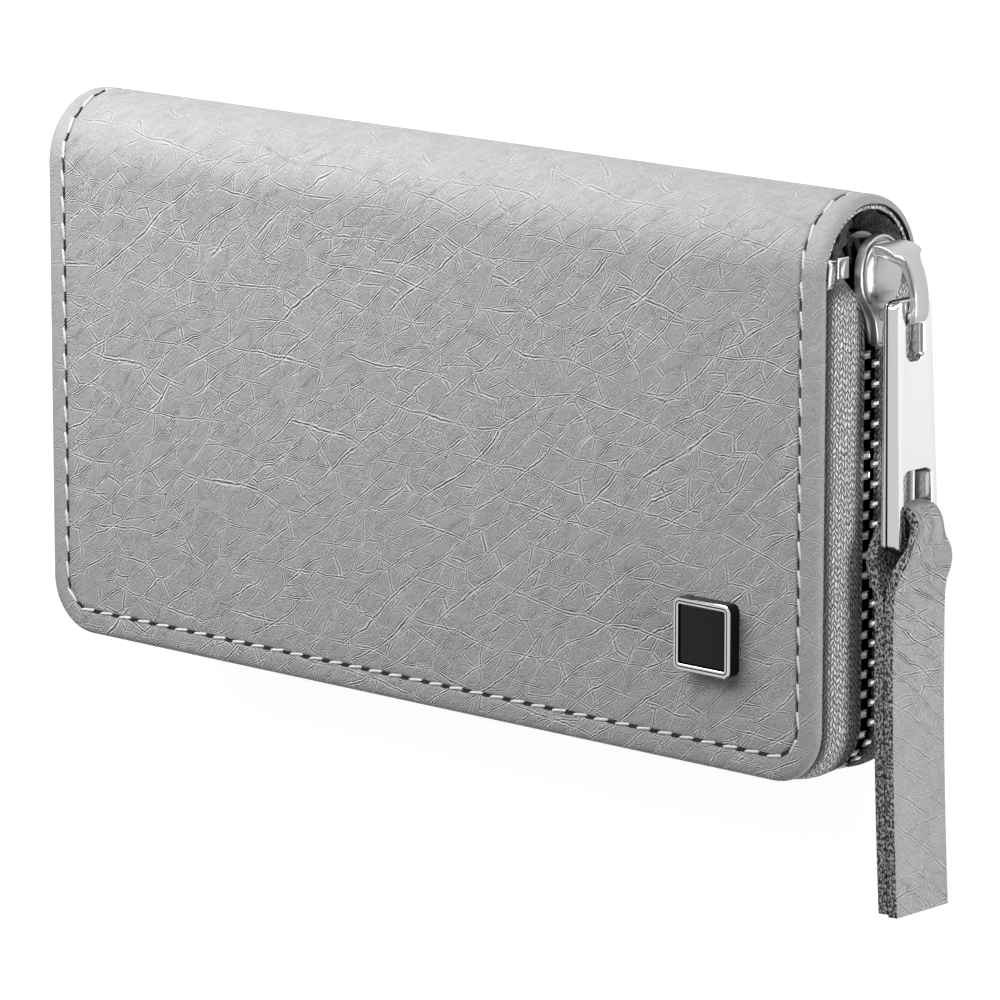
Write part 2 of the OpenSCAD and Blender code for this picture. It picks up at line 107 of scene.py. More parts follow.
def pick(obj, kind, test):  # selects by place, and faces also by their normal
    bpy.ops.mesh.select_mode(type=kind)
    bpy.ops.mesh.select_all(action="DESELECT")
    mesh = bmesh.from_edit_mesh(obj.data)
    mesh.normal_update()
    if kind == "VERT":
        found = [v for v in mesh.verts if test(v.co)]
    elif kind == "EDGE":
        found = [e for e in mesh.edges if test(e.verts[0].co, e.verts[1].co)]
    else:
        found = [f for f in mesh.faces if test(f.calc_center_median(), f.normal)]
    for part in found:
        part.select_set(True)
    bmesh.update_edit_mesh(obj.data)
    return len(found)


def addBox(name, low, high):
    bpy.ops.object.select_all(action="DESELECT")
    centre = [(a + b) / 2 for a, b in zip(low, high)]
    bpy.ops.mesh.primitive_cube_add(size=1, location=centre)
    obj = bpy.context.object
    obj.name = name
    obj.data.name = name
    obj.scale = [b - a for a, b in zip(low, high)]
    bpy.ops.object.transform_apply(location=True, rotation=True, scale=True)
    return obj


def addTube(name, radius, length, centre, sides=32, turn=(0, 0, 0)):
    bpy.ops.object.select_all(action="DESELECT")
    bpy.ops.mesh.primitive_cylinder_add(vertices=sides, radius=radius, depth=length, location=centre, rotation=turn)
    obj = bpy.context.object
    obj.name = name
    obj.data.name = name
    bpy.ops.object.transform_apply(location=True, rotation=True, scale=True)
    return obj


def drawLine(name, points, closed=False):  # one vertex, extruded from point to point
    bpy.ops.object.select_all(action="DESELECT")
    bpy.ops.mesh.primitive_plane_add(size=1, location=(0, 0, 0))
    obj = bpy.context.object
    obj.name = name
    obj.data.name = name
    bpy.ops.object.mode_set(mode="EDIT")
    bpy.ops.mesh.select_mode(type="VERT")
    bpy.ops.mesh.select_all(action="SELECT")
    bpy.ops.mesh.merge(type="CENTER")
    bpy.ops.transform.translate(value=points[0])
    for a, b in zip(points, points[1:]):
        step = Vector(b) - Vector(a)
        extrudeBy(step)
    if closed:
        first, last = Vector(points[0]), Vector(points[-1])
        pick(obj, "VERT", lambda v: (v - first).length < 1e-4 or (v - last).length < 1e-4)
        bpy.ops.mesh.edge_face_add()
    bpy.ops.object.mode_set(mode="OBJECT")
    return obj


def slab(name, outline, push):  # a closed outline, filled and extruded by push
    obj = drawLine(name, outline, closed=True)
    startEdit(obj, "EDGE")
    bpy.ops.mesh.select_all(action="SELECT")
    bpy.ops.mesh.edge_face_add()
    bpy.ops.mesh.select_all(action="SELECT")
    extrudeBy(push)
    faceOutwards()
    endEdit()
    return obj


def curved(points, steps=6, closed=False):  # a smooth line through the points
    pts = [Vector(p) for p in points]
    n = len(pts)
    out = []
    for i in range(n if closed else n - 1):
        p0 = pts[(i - 1) % n] if closed or i > 0 else pts[0] * 2 - pts[1]
        p1, p2 = pts[i], pts[(i + 1) % n]
        p3 = pts[(i + 2) % n] if closed or i + 2 < n else pts[-1] * 2 - pts[-2]
        for k in range(steps):
            t = k / steps
            out.append(0.5 * (2 * p1 + (p2 - p0) * t + (2 * p0 - 5 * p1 + 4 * p2 - p3) * t * t
                              + (3 * p1 - p0 - 3 * p2 + p3) * t ** 3))
    if not closed:
        out.append(pts[-1])
    return out


def useModifier(obj, kind, **settings):
    only(obj)
    modifier = obj.modifiers.new(kind.lower(), kind)
    for key, value in settings.items():
        setattr(modifier, key, value)
    bpy.ops.object.modifier_apply(modifier=modifier.name)


def cutAway(obj, cutter):
    useModifier(obj, "BOOLEAN", operation="DIFFERENCE", object=cutter, solver="EXACT")
    bpy.data.objects.remove(cutter)


def joinAll(name, parts):
    bpy.ops.object.select_all(action="DESELECT")
    for part in parts:
        part.select_set(True)
    bpy.context.view_layer.objects.active = parts[0]
    if len(parts) > 1:
        bpy.ops.object.join()
    obj = bpy.context.object
    obj.name = name
    obj.data.name = name
    return obj


def turned(axis, degrees):
    return Matrix.Rotation(math.radians(degrees), 4, axis)


def moved(x, y, z):
    return Matrix.Translation((x, y, z))


def copyTo(obj, matrix):  # a copy with its own mesh, put in place
    twin = obj.copy()
    twin.data = obj.data.copy()
    bpy.context.scene.collection.objects.link(twin)
    twin.data.transform(matrix)
    return twin


def finishPiece(obj, material, body=None, replaced=(), angle=35):
    only(obj)
    obj.scale = (mm, mm, mm)
    bpy.ops.object.transform_apply(location=True, rotation=True, scale=True)
    if angle:
        bpy.ops.object.shade_smooth_by_angle(angle=math.radians(angle))
    if material:
        obj.data.materials.clear()
        obj.data.materials.append(material)
    if body:
        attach(obj, body)
    if replaced:
        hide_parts(*replaced)
    return obj


# camera at the photograph's viewing angle
cameraSetting = {"lens": 245.8, "sensor": 36.0, "place": (0.56385, 0.16288, 0.61825),
                 "lookAt": (0.00532, -0.00992, 0.009), "nudge": (0.00055, 0.00019)}
cameraData = bpy.data.cameras.new("productCamera")
cameraData.lens = cameraSetting["lens"]
cameraData.sensor_width = cameraSetting["sensor"]
cameraData.clip_start = 0.05
cameraData.clip_end = 20
camera = bpy.data.objects.new("productCamera", cameraData)
bpy.context.scene.collection.objects.link(camera)
cameraPlace = Vector(cameraSetting["place"])
back = (cameraPlace - Vector(cameraSetting["lookAt"])).normalized()
side = Vector((0, 1, 0)).cross(back).normalized()
upward = back.cross(side)
cameraPlace += side * cameraSetting["nudge"][0] + upward * cameraSetting["nudge"][1]
camera.matrix_world = Matrix((
    (side.x, upward.x, back.x, cameraPlace.x),
    (side.y, upward.y, back.y, cameraPlace.y),
    (side.z, upward.z, back.z, cameraPlace.z),
    (0, 0, 0, 1)))
bpy.context.scene.camera = camera
print("camera is set")


# shared effects, as node groups
def newGroup(name, inputs, outputs):
    group = bpy.data.node_groups.new(name, "ShaderNodeTree")
    for title, kind, value in inputs:
        socket = group.interface.new_socket(name=title, in_out="INPUT", socket_type=kind)
        if value is not None:
            socket.default_value = value
    for title, kind in outputs:
        group.interface.new_socket(name=title, in_out="OUTPUT", socket_type=kind)
    start = group.nodes.new("NodeGroupInput")
    end = group.nodes.new("NodeGroupOutput")
    return group, start, end


def addMath(tree, operation, a, b=None, c=None):
    node = tree.nodes.new("ShaderNodeMath")
    node.operation = operation
    for i, value in enumerate((a, b, c)):
        if value is None:
            continue
        if isinstance(value, (int, float)):
            node.inputs[i].default_value = value
        else:
            tree.links.new(value, node.inputs[i])
    return node.outputs[0]


def addNoise(tree, vector, scale, detail=2.0, roughness=0.5, kind="3D"):
    node = tree.nodes.new("ShaderNodeTexNoise")
    node.noise_dimensions = kind
    tree.links.new(vector, node.inputs["Vector"])
    if isinstance(scale, (int, float)):
        node.inputs["Scale"].default_value = scale
    else:
        tree.links.new(scale, node.inputs["Scale"])
    node.inputs["Detail"].default_value = detail
    node.inputs["Roughness"].default_value = roughness
    return node


def addMapping(tree, vector, turn=0.0, scale=(1, 1, 1), place=(0, 0, 0)):  # turns, then stretches, the pattern
    node = tree.nodes.new("ShaderNodeMapping")
    node.vector_type = "TEXTURE"
    tree.links.new(vector, node.inputs["Vector"])
    node.inputs["Rotation"].default_value = (0, 0, math.radians(turn))
    node.inputs["Scale"].default_value = scale
    node.inputs["Location"].default_value = place
    return node.outputs[0]


def addCellEdge(tree, vector, scale):  # how far the nearest border between two cells is
    node = tree.nodes.new("ShaderNodeTexVoronoi")
    node.voronoi_dimensions = "2D"
    node.feature = "DISTANCE_TO_EDGE"
    tree.links.new(vector, node.inputs["Vector"])
    node.inputs["Scale"].default_value = scale
    node.inputs["Randomness"].default_value = 1.0
    return node.outputs["Distance"]


def addClamped(tree, *terms):
    result = addMath(tree, *terms)
    result.node.use_clamp = True
    return result


def addFade(tree, value, start, stop, low, high):  # low at start, high at stop
    node = tree.nodes.new("ShaderNodeMapRange")
    tree.links.new(value, node.inputs["Value"])
    for title, number in (("From Min", start), ("From Max", stop), ("To Min", low), ("To Max", high)):
        node.inputs[title].default_value = number
    return node.outputs["Result"]


def addParts(tree, vector):
    node = tree.nodes.new("ShaderNodeSeparateXYZ")
    tree.links.new(vector, node.inputs[0])
    return node.outputs


def addShift(tree, vector, offset, reach):  # vector plus offset times reach
    node = tree.nodes.new("ShaderNodeVectorMath")
    node.operation = "MULTIPLY_ADD"
    tree.links.new(offset, node.inputs[0])
    node.inputs[1].default_value = reach
    tree.links.new(vector, node.inputs[2])
    return node.outputs[0]


grainShape = {
    "bends": ((85.0, 0.0024), (420.0, 0.00045), (1500.0, 0.00014)),  # noise scale, reach in metres
    "line": 0.0001,  # half width of a crease, in metres
    # turn, metres apart, sway, place, scale of the mask, its gain and lift, share
    "creases": ((37, 0.0027, 1.15, (0.003, 0.001, 0), 150.0, 4.0, -1.0, 1.0),
                (-7, 0.0037, 1.05, (0.031, 0.012, 0), 140.0, 4.0, -1.15, 0.85),
                (52, 0.0023, 1.1, (0.043, 0.021, 0), 210.0, 4.0, -1.45, 0.55),
                (70, 0.0041, 1.0, (0.011, 0.073, 0), 190.0, 4.0, -1.4, 0.6)),
    # turn, stretch, cell scale, width in cells, place, scale of the mask, its gain and lift, share
    "pebbles": (36, 1.9, 330.0, 0.028, (0, 0, 0), 160.0, 3.4, -0.95, 0.6),
    "hairs": (60, 1.9, 1300.0, 0.08, (0.05, 0.02, 0), 300.0, 2.8, -0.7, 0.3),
    "pores": 2900.0, "mottle": 260.0}


def makeGrain():  # pebbled leather: creases of several strands round slanting cells, finer nets and pores
    group, start, end = newGroup(
        "leatherGrain",
        [("Vector", "NodeSocketVector", None), ("Crease", "NodeSocketFloat", 1.0), ("Fine", "NodeSocketFloat", 0.5)],
        [(title, "NodeSocketFloat") for title in ("Height", "Lines", "Lips", "Mottle")])
    vector = start.outputs["Vector"]
    bent = vector
    for scale, reach in grainShape["bends"]:
        wave = addNoise(group, vector, scale, 1.0, 0.5, "2D")
        bent = addShift(group, bent, wave.outputs["Color"], (reach, reach, 0))

    def band(far, middleOf, width):  # 1 where far is middleOf, 0 from width away
        off = addMath(group, "ABSOLUTE", addMath(group, "SUBTRACT", far, middleOf))
        return addClamped(group, "SUBTRACT", 1.0, addMath(group, "DIVIDE", off, width))

    def strands(far, width, place, maskScale, gain, lift):  # a groove with a raised lip and a fainter second groove
        groove = addClamped(group, "SUBTRACT", 1.0, addMath(group, "DIVIDE", far, width))
        beside = band(far, width * 2.6, width * 0.8)
        lip = band(far, width * 1.5, width * 0.9)
        fade = addNoise(group, addMapping(group, vector, 0, (1, 1, 1), place), maskScale, 2.0, 0.5, "2D")
        shown = addClamped(group, "MULTIPLY_ADD", fade.outputs["Fac"], gain, lift)
        other = addMapping(group, vector, 0, (1, 1, 1), (place[1], 0.3, 0))
        second = addNoise(group, other, maskScale * 1.7, 1.0, 0.5, "2D")
        doubled = addClamped(group, "MULTIPLY_ADD", second.outputs["Fac"], 4.0, -1.5)
        beside = addMath(group, "MULTIPLY", beside, addMath(group, "MULTIPLY", doubled, 0.7))
        lines = addMath(group, "MAXIMUM", groove, beside)
        return addMath(group, "MULTIPLY", lines, shown), addMath(group, "MULTIPLY", lip, shown)

    def creases(turn, apart, sway, place, *mask):  # long wavering folds
        placed = addMapping(group, bent, turn, (1, 1, 1), place)
        slow = addNoise(group, addMapping(group, placed, 0, (2.2, 1, 1), place), 95.0, 1.0, 0.5, "2D")
        count = addMath(group, "DIVIDE", addParts(group, placed)["Y"], apart)
        count = addMath(group, "MULTIPLY_ADD", slow.outputs["Fac"], sway, count)
        far = addMath(group, "ABSOLUTE", addMath(group, "SUBTRACT", addMath(group, "FRACT", count), 0.5))
        return strands(addMath(group, "MULTIPLY", far, apart), grainShape["line"], place, *mask)

    def cells(turn, stretch, scale, width, place, *mask):
        placed = addMapping(group, bent, turn, (stretch, 1, 1), place)
        far = addCellEdge(group, placed, scale)
        return strands(far, width, place, *mask), far

    found = [(creases(*values), share) for *values, share in grainShape["creases"]]
    *values, share = grainShape["pebbles"]
    pebbles, pebbleFar = cells(*values)
    found.append((pebbles, share))
    *values, share = grainShape["hairs"]
    found.append((cells(*values)[0], share))
    lines, lips = found[0][0]
    for (extra, extraLips), share in found[1:]:
        lines = addMath(group, "MAXIMUM", lines, addMath(group, "MULTIPLY", extra, share))
        lips = addMath(group, "MAXIMUM", lips, addMath(group, "MULTIPLY", extraLips, share))
    split = addParts(group, vector)
    crest = math.pi * archRadius * mm / 2  # the leather is pulled smooth over the spine
    fromCrest = addMath(group, "ABSOLUTE", addMath(group, "SUBTRACT", split["Y"], crest))
    amount = addMath(group, "MULTIPLY", addFade(group, fromCrest, 0.007, 0.018, 0.45, 1.0), start.outputs["Crease"])
    fromMiddle = addMath(group, "ABSOLUTE", split["X"])  # and over the rolled border outside the seam
    amount = addMath(group, "MULTIPLY", amount, addFade(group, fromMiddle, 0.0612, 0.0622, 1.0, 0.3))
    lines = addMath(group, "MULTIPLY", lines, amount)
    lips = addMath(group, "MULTIPLY", lips, amount)
    pores = addNoise(group, addMapping(group, vector, 40, (1.5, 1, 1)), grainShape["pores"], 3.0, 0.65, "2D")
    pillow = addMath(group, "MINIMUM", addMath(group, "MULTIPLY", pebbleFar, 2.4), 0.5)
    height = addMath(group, "MULTIPLY_ADD", lines, -1.0, addMath(group, "MULTIPLY", pillow, 0.25))
    height = addMath(group, "MULTIPLY_ADD", lips, 0.35, height)
    rough = addMath(group, "MULTIPLY", pores.outputs["Fac"], start.outputs["Fine"])
    height = addMath(group, "MULTIPLY_ADD", rough, 0.7, height)
    mottle = addNoise(group, vector, grainShape["mottle"], 3.0, 0.6, "2D")
    mixed = addMath(group, "MULTIPLY", mottle.outputs["Fac"], 0.35)
    mixed = addMath(group, "MULTIPLY_ADD", pores.outputs["Fac"], 0.65, mixed)
    for title, value in (("Height", height), ("Lines", lines), ("Lips", lips), ("Mottle", mixed)):
        group.links.new(value, end.inputs[title])
    return group


def makeKnit():  # ribs of slanting loops that turn the other way from rib to rib
    group, start, end = newGroup(
        "knit",
        [("Vector", "NodeSocketVector", None), ("Rib", "NodeSocketFloat", 0.00046),
         ("Loop", "NodeSocketFloat", 0.00082)],
        [("Height", "NodeSocketFloat"), ("Shade", "NodeSocketFloat")])
    fray = addNoise(group, start.outputs["Vector"], 1300.0, 2.0, 0.6, "3D")
    split = addParts(group, addShift(group, start.outputs["Vector"], fray.outputs["Color"], (0.0011, 0.0006, 0)))
    across = addMath(group, "DIVIDE", split["Y"], start.outputs["Rib"])
    inRib = addMath(group, "FRACT", across)
    number = addMath(group, "FLOOR", across)
    way = addMath(group, "MULTIPLY_ADD", addMath(group, "PINGPONG", number, 1.0), 2.0, -1.0)
    centred = addMath(group, "SUBTRACT", inRib, 0.5)
    along = addMath(group, "DIVIDE", split["X"], start.outputs["Loop"])
    along = addMath(group, "MULTIPLY_ADD", addMath(group, "MULTIPLY", centred, way), 0.75, along)
    loose = group.nodes.new("ShaderNodeTexWhiteNoise")  # each rib starts at its own place
    loose.noise_dimensions = "1D"
    group.links.new(number, loose.inputs["W"])
    along = addMath(group, "ADD", along, loose.outputs["Value"])
    wave = addMath(group, "SINE", addMath(group, "MULTIPLY", along, 2 * math.pi))
    wave = addMath(group, "POWER", addMath(group, "MULTIPLY_ADD", wave, 0.5, 0.5), 0.7)
    squared = addMath(group, "MULTIPLY", centred, centred)
    bulge = addMath(group, "SUBTRACT", 1.0, addMath(group, "MULTIPLY", squared, 4.0))
    height = addMath(group, "MULTIPLY", wave, addMath(group, "MULTIPLY_ADD", bulge, 0.85, 0.15))
    hair = addNoise(group, start.outputs["Vector"], 5200.0, 2.0, 0.6, "3D")
    shade = addMath(group, "MULTIPLY_ADD", height, 1.15, -0.25)
    shade = addMath(group, "MULTIPLY_ADD", hair.outputs["Fac"], 0.5, shade)
    group.links.new(height, end.inputs["Height"])
    group.links.new(shade, end.inputs["Shade"])
    return group


def makeWear():  # soft smudges and fine scratches, for roughness
    group, start, end = newGroup(
        "handling",
        [("Vector", "NodeSocketVector", None), ("Low", "NodeSocketFloat", 0.1), ("High", "NodeSocketFloat", 0.2)],
        [("Roughness", "NodeSocketFloat"), ("Scratch", "NodeSocketFloat")])
    smudge = addNoise(group, start.outputs["Vector"], 260.0, 3.0, 0.6)
    fine = addNoise(group, addMapping(group, start.outputs["Vector"], 0, (1, 16, 1)), 9000.0, 2.0, 0.6)
    span = addMath(group, "SUBTRACT", start.outputs["High"], start.outputs["Low"])
    rough = addMath(group, "MULTIPLY_ADD", smudge.outputs["Fac"], span, start.outputs["Low"])
    group.links.new(rough, end.inputs["Roughness"])
    group.links.new(fine.outputs["Fac"], end.inputs["Scratch"])
    return group


grainGroup = makeGrain()
knitGroup = makeKnit()
wearGroup = makeWear()


# materials
def newMaterial(name, **values):
    material = bpy.data.materials.new(name)
    material.use_nodes = True
    shader = material.node_tree.nodes["Principled BSDF"]
    for key, value in values.items():
        shader.inputs[key.replace("_", " ")].default_value = value
    return material, material.node_tree, shader


def addGroup(tree, group, vector, **values):
    node = tree.nodes.new("ShaderNodeGroup")
    node.node_tree = group
    tree.links.new(vector, node.inputs["Vector"])
    for key, value in values.items():
        node.inputs[key].default_value = value
    return node


def ownMap(tree, name):
    node = tree.nodes.new("ShaderNodeUVMap")
    node.uv_map = name
    return node.outputs["UV"]


def objectPlace(tree):
    return tree.nodes.new("ShaderNodeTexCoord").outputs["Object"]


def addBump(tree, shader, height, distance, strength=1.0):
    node = tree.nodes.new("ShaderNodeBump")
    node.inputs["Distance"].default_value = distance
    node.inputs["Strength"].default_value = strength
    tree.links.new(height, node.inputs["Height"])
    tree.links.new(node.outputs["Normal"], shader.inputs["Normal"])
    return node


def mixColours(tree, factor, low, high):
    node = tree.nodes.new("ShaderNodeMix")
    node.data_type = "RGBA"
    tree.links.new(factor, node.inputs["Factor"])
    node.inputs["A"].default_value = (*low, 1)
    node.inputs["B"].default_value = (*high, 1)
    return node.outputs["Result"]


def grey(value):
    return (value, value, value)


# dark: the tone that the hide's random mottle and the painted shade in the creases lead to; lip: a painted highlight on
# the creases' raised lips
leatherLook = {"light": 0.42, "dark": 0.08, "lip": 0.95, "depth": 0.00017, "crease": 1.0, "fine": 0.8, "rough": 0.5}
strapLook = {"light": 0.52, "dark": 0.08, "lip": 0.95, "depth": 0.00019, "crease": 1.0, "fine": 1.8, "rough": 0.55}


def makeLeather(name, look):
    material, tree, shader = newMaterial(name, Roughness=look["rough"])
    shader.inputs["Specular IOR Level"].default_value = 0.34
    grain = addGroup(tree, grainGroup, ownMap(tree, "leatherMap"), Crease=look["crease"], Fine=look["fine"])
    # the mottle is the hide's own uneven tone; the crease lines add painted shade to it
    tone = addMath(tree, "MULTIPLY", grain.outputs["Mottle"], 0.62)
    tone = addMath(tree, "MULTIPLY_ADD", grain.outputs["Lines"], 0.85, tone)
    base = tree.nodes.new("ShaderNodeMix")
    base.data_type = "RGBA"
    # the creases' raised lips are painted lighter, towards lip: a painted highlight
    tree.links.new(addMath(tree, "MULTIPLY", grain.outputs["Lips"], 0.85), base.inputs["Factor"])
    tree.links.new(mixColours(tree, tone, grey(look["light"]), grey(look["dark"])), base.inputs["A"])
    base.inputs["B"].default_value = (*grey(look["lip"]), 1)
    tree.links.new(base.outputs["Result"], shader.inputs["Base Color"])
    gloss = addMath(tree, "MULTIPLY_ADD", grain.outputs["Mottle"], 0.12, look["rough"] - 0.06)
    tree.links.new(addMath(tree, "MULTIPLY_ADD", grain.outputs["Lines"], 0.12, gloss), shader.inputs["Roughness"])
    addBump(tree, shader, grain.outputs["Height"], look["depth"])
    return material


leather = makeLeather("greyLeather", leatherLook)
strapLeather = makeLeather("strapLeather", strapLook)
print("leather is mixed")


def makeRawEdge(name, low, high):  # cut leather: rough and speckled with fibres
    material, tree, shader = newMaterial(name, Roughness=0.85)
    place = objectPlace(tree)
    spots = addNoise(tree, addMapping(tree, place, 0, (1, 1.5, 1)), 3400.0, 2.0, 0.65)
    sharp = addClamped(tree, "MULTIPLY_ADD", spots.outputs["Fac"], 7.0, -3.2)
    tree.links.new(mixColours(tree, sharp, grey(low), grey(high)), shader.inputs["Base Color"])
    addBump(tree, shader, spots.outputs["Fac"], 0.0003)
    return material


def makeTape(name, low, high):
    material, tree, shader = newMaterial(name, Roughness=0.8)
    shader.inputs["Sheen Weight"].default_value = 0.15
    where = ownMap(tree, "weaveMap")
    knit = addGroup(tree, knitGroup, where)
    fromChain = addMath(tree, "ABSOLUTE", addParts(tree, where)["Y"])
    shade = addMath(tree, "MULTIPLY", knit.outputs["Shade"], 1.06)
    for start, stop, least in ((0.0012, 0.0034, 0.55), (0.0077, 0.0067, 0.08)):  # painted shade: darker by the teeth and by the leather
        shade = addMath(tree, "MULTIPLY", shade, addFade(tree, fromChain, start, stop, least, 1.0))
    ends = addParts(tree, objectPlace(tree))  # painted shade on the tapes' ends beside the stops too
    shade = addMath(tree, "MULTIPLY", shade, addFade(tree, ends["Y"], 0.0228, 0.0244, 1.0, 0.2))
    tree.links.new(mixColours(tree, shade, grey(low), grey(high)), shader.inputs["Base Color"])
    addBump(tree, shader, knit.outputs["Height"], 0.0003)
    return material


def makeMetal(name, tone, low, high, scratch=0.000002):  # low and high are its roughness
    material, tree, shader = newMaterial(name, Metallic=1.0)
    place = objectPlace(tree)
    wear = addGroup(tree, wearGroup, place, Low=low, High=high)
    cloud = addNoise(tree, place, 420.0, 2.0, 0.5)
    tree.links.new(mixColours(tree, cloud.outputs["Fac"], grey(tone * 0.96), grey(tone)), shader.inputs["Base Color"])
    tree.links.new(wear.outputs["Roughness"], shader.inputs["Roughness"])
    addBump(tree, shader, wear.outputs["Scratch"], scratch)
    return material


def makeThread():
    material, tree, shader = newMaterial("thread", Roughness=0.65)
    place = objectPlace(tree)
    twist = addNoise(tree, addMapping(tree, place, 35, (1, 0.33, 1)), 2200.0, 2.0, 0.5)
    tree.links.new(mixColours(tree, twist.outputs["Fac"], grey(0.42), grey(0.85)), shader.inputs["Base Color"])
    addBump(tree, shader, twist.outputs["Fac"], 0.0001)
    return material


def makeShiny(name, tone, rough, bump=0.0):
    material, tree, shader = newMaterial(name, Roughness=rough)
    place = objectPlace(tree)
    cloud = addNoise(tree, place, 500.0, 2.0, 0.5)
    colour = mixColours(tree, cloud.outputs["Fac"], grey(tone * 0.8), grey(tone * 1.2))
    tree.links.new(colour, shader.inputs["Base Color"])
    wear = addGroup(tree, wearGroup, place, Low=rough * 0.7, High=rough * 1.4)
    tree.links.new(wear.outputs["Roughness"], shader.inputs["Roughness"])
    if bump:
        grain = addNoise(tree, place, 1500.0, 3.0, 0.6)
        addBump(tree, shader, grain.outputs["Fac"], bump)
    return material


rawEdge = makeRawEdge("rawEdge", low=0.006, high=0.42)
liningEdge = makeRawEdge("liningEdge", low=0.16, high=0.8)
tapeCloth = makeTape("tapeCloth", low=0.035, high=1.0)
# a darker copy of the tape cloth: painted shade of the hollow above the slider
shadedTapeEndCloth = makeTape("shadedTapeEndCloth", low=0.006, high=0.4)
chrome = makeMetal("chrome", tone=0.77, low=0.05, high=0.14)
toothMetal = makeMetal("toothMetal", tone=0.2, low=0.08, high=0.2)
satinChrome = makeMetal("satinChrome", tone=0.46, low=0.24, high=0.42, scratch=0.00003)
# near-black metal, used as painted shade in the pull's channel and on the badge
paintedShadeMetal = makeMetal("paintedShadeMetal", tone=0.02, low=0.2, high=0.4)
toolSteel = makeMetal("toolSteel", tone=0.52, low=0.26, high=0.4, scratch=0.000004)
thread = makeThread()
enamel = makeShiny("enamel", tone=0.006, rough=0.12)
enamel.node_tree.nodes["Principled BSDF"].inputs["Specular IOR Level"].default_value = 0.2
# near black: painted shade in the needle holes and in the seam's groove between stitches
holeShade = makeShiny("needleHoleShade", tone=0.01, rough=0.9)
lining = makeShiny("darkLining", tone=0.01, rough=0.55, bump=0.00008)
boardCard = makeShiny("boardCard", tone=0.35, rough=0.85, bump=0.0001)
gripPlastic = makeShiny("gripPlastic", tone=0.02, rough=0.3)
darkThread = makeShiny("darkThread", tone=0.05, rough=0.6)
padLeather = makeShiny("padLeather", tone=0.035, rough=0.45, bump=0.00015)


def makeElastic():  # black ribbed elastic
    material, tree, shader = newMaterial("elastic", Roughness=0.75)
    shader.inputs["Sheen Weight"].default_value = 0.1
    knit = addGroup(tree, knitGroup, ownMap(tree, "weaveMap"), Rib=0.0009, Loop=0.0007)
    tree.links.new(mixColours(tree, knit.outputs["Shade"], grey(0.008), grey(0.075)), shader.inputs["Base Color"])
    addBump(tree, shader, knit.outputs["Height"], 0.00012)
    return material


def makeFileSteel():  # the file's cut: two rows of fine teeth crossing each other
    material, tree, shader = newMaterial("fileSteel", Metallic=1.0, Roughness=0.35)
    place = objectPlace(tree)
    rows = []
    for turn in (32, -32):
        across = addParts(tree, addMapping(tree, place, turn))["X"]
        rows.append(addMath(tree, "PINGPONG", addMath(tree, "DIVIDE", across, 0.00035), 1.0))
    cut = addMath(tree, "MULTIPLY", rows[0], rows[1])
    tree.links.new(mixColours(tree, cut, grey(0.3), grey(0.72)), shader.inputs["Base Color"])
    addBump(tree, shader, cut, 0.00008)
    return material


elastic = makeElastic()
fileSteel = makeFileSteel()
print("materials are ready")


# covers
coverShape = {
    "wallDrop": 0.85,  # where the rounded edge meets the upright wall, below the outer face
    "short": 0.25,  # the leather stops a little short of the tape's fullest place
    "cornerSteps": 14,
    "low": 17.0,
    "runOn": 12.0,  # built past the spine's start and then cut off
    # distance from the edge, drop below the outer face; the dip at 3.15 is the seam's groove
    "rings": [(0.05, 0.6), (0.16, 0.4), (0.34, 0.24), (0.6, 0.12), (0.95, 0.05), (1.4, 0.02), (2.2, 0.02), (2.7, 0.05),
              (2.9, 0.1), (3.04, 0.2), (3.15, 0.3), (3.26, 0.2), (3.4, 0.08), (3.7, 0.03), (4.4, 0.0), (6.0, 0.0)],
    # in from the edge, on the inside: the turned edge behind the tape, then the bed for the board
    "inside": ((0.1, 0.06), (0.95, 0), (0.05, 1.14), (0.3, 0), (0.02, -1.3))}
wallDrop = coverShape["wallDrop"]
hideHalf = halfLength - coverShape["short"]


def mapLeather(obj):  # one flat hide from the front's foot over the spine to the back's foot
    layer = obj.data.uv_layers.new(name="leatherMap")
    mesh = obj.data
    for face in mesh.polygons:
        for i in face.loop_indices:
            point = mesh.vertices[mesh.loops[i].vertex_index]
            x, y, z = point.co
            if y > archY + 0.001:
                radius = math.hypot(y - archY, z - middle)
                angle = math.atan2(z - middle, y - archY)
                u = x + (archRadius - radius) * point.normal.x
                v = archRadius * (math.pi / 2 - angle)
            else:
                drop = case["thickness"] - z if z > middle else z
                u = x + point.normal.x * drop
                v = y - archY + point.normal.y * drop
                if z < middle:
                    v = math.pi * archRadius - v
            layer.data[i].uv = (u * mm, v * mm)


def makeCover(name):
    obj = addBox(name, (-hideHalf, footY, coverShape["low"]),
                 (hideHalf, archY + coverShape["runOn"], case["thickness"] - wallDrop))
    startEdit(obj, "EDGE")
    pick(obj, "EDGE", lambda a, b: max(a.y, b.y) < footY + 0.01 and abs(a.z - b.z) > 0.1)
    bpy.ops.mesh.bevel(offset=case["corner"], segments=coverShape["cornerSteps"], profile=0.5)
    pick(obj, "FACE", lambda c, n: n.z > 0.9)
    reached, dropped = 0, wallDrop
    for reach, drop in coverShape["rings"]:
        bpy.ops.mesh.inset(thickness=reach - reached, depth=dropped - drop)
        reached, dropped = reach, drop
    pick(obj, "FACE", lambda c, n: n.z < -0.9)
    insetSteps(coverShape["inside"])
    bpy.ops.mesh.select_all(action="SELECT")
    bpy.ops.mesh.bisect(plane_co=(0, archY, 0), plane_no=(0, 1, 0), clear_outer=True, use_fill=True)
    faceOutwards()
    endEdit()
    return obj


def toBack(obj, name):  # the same piece turned over onto the other cover
    twin = copyTo(obj, moved(0, 0, case["thickness"]) @ Matrix.Diagonal((1, 1, -1, 1)))
    twin.name = name
    twin.data.name = name
    turnFaces(twin)
    return twin


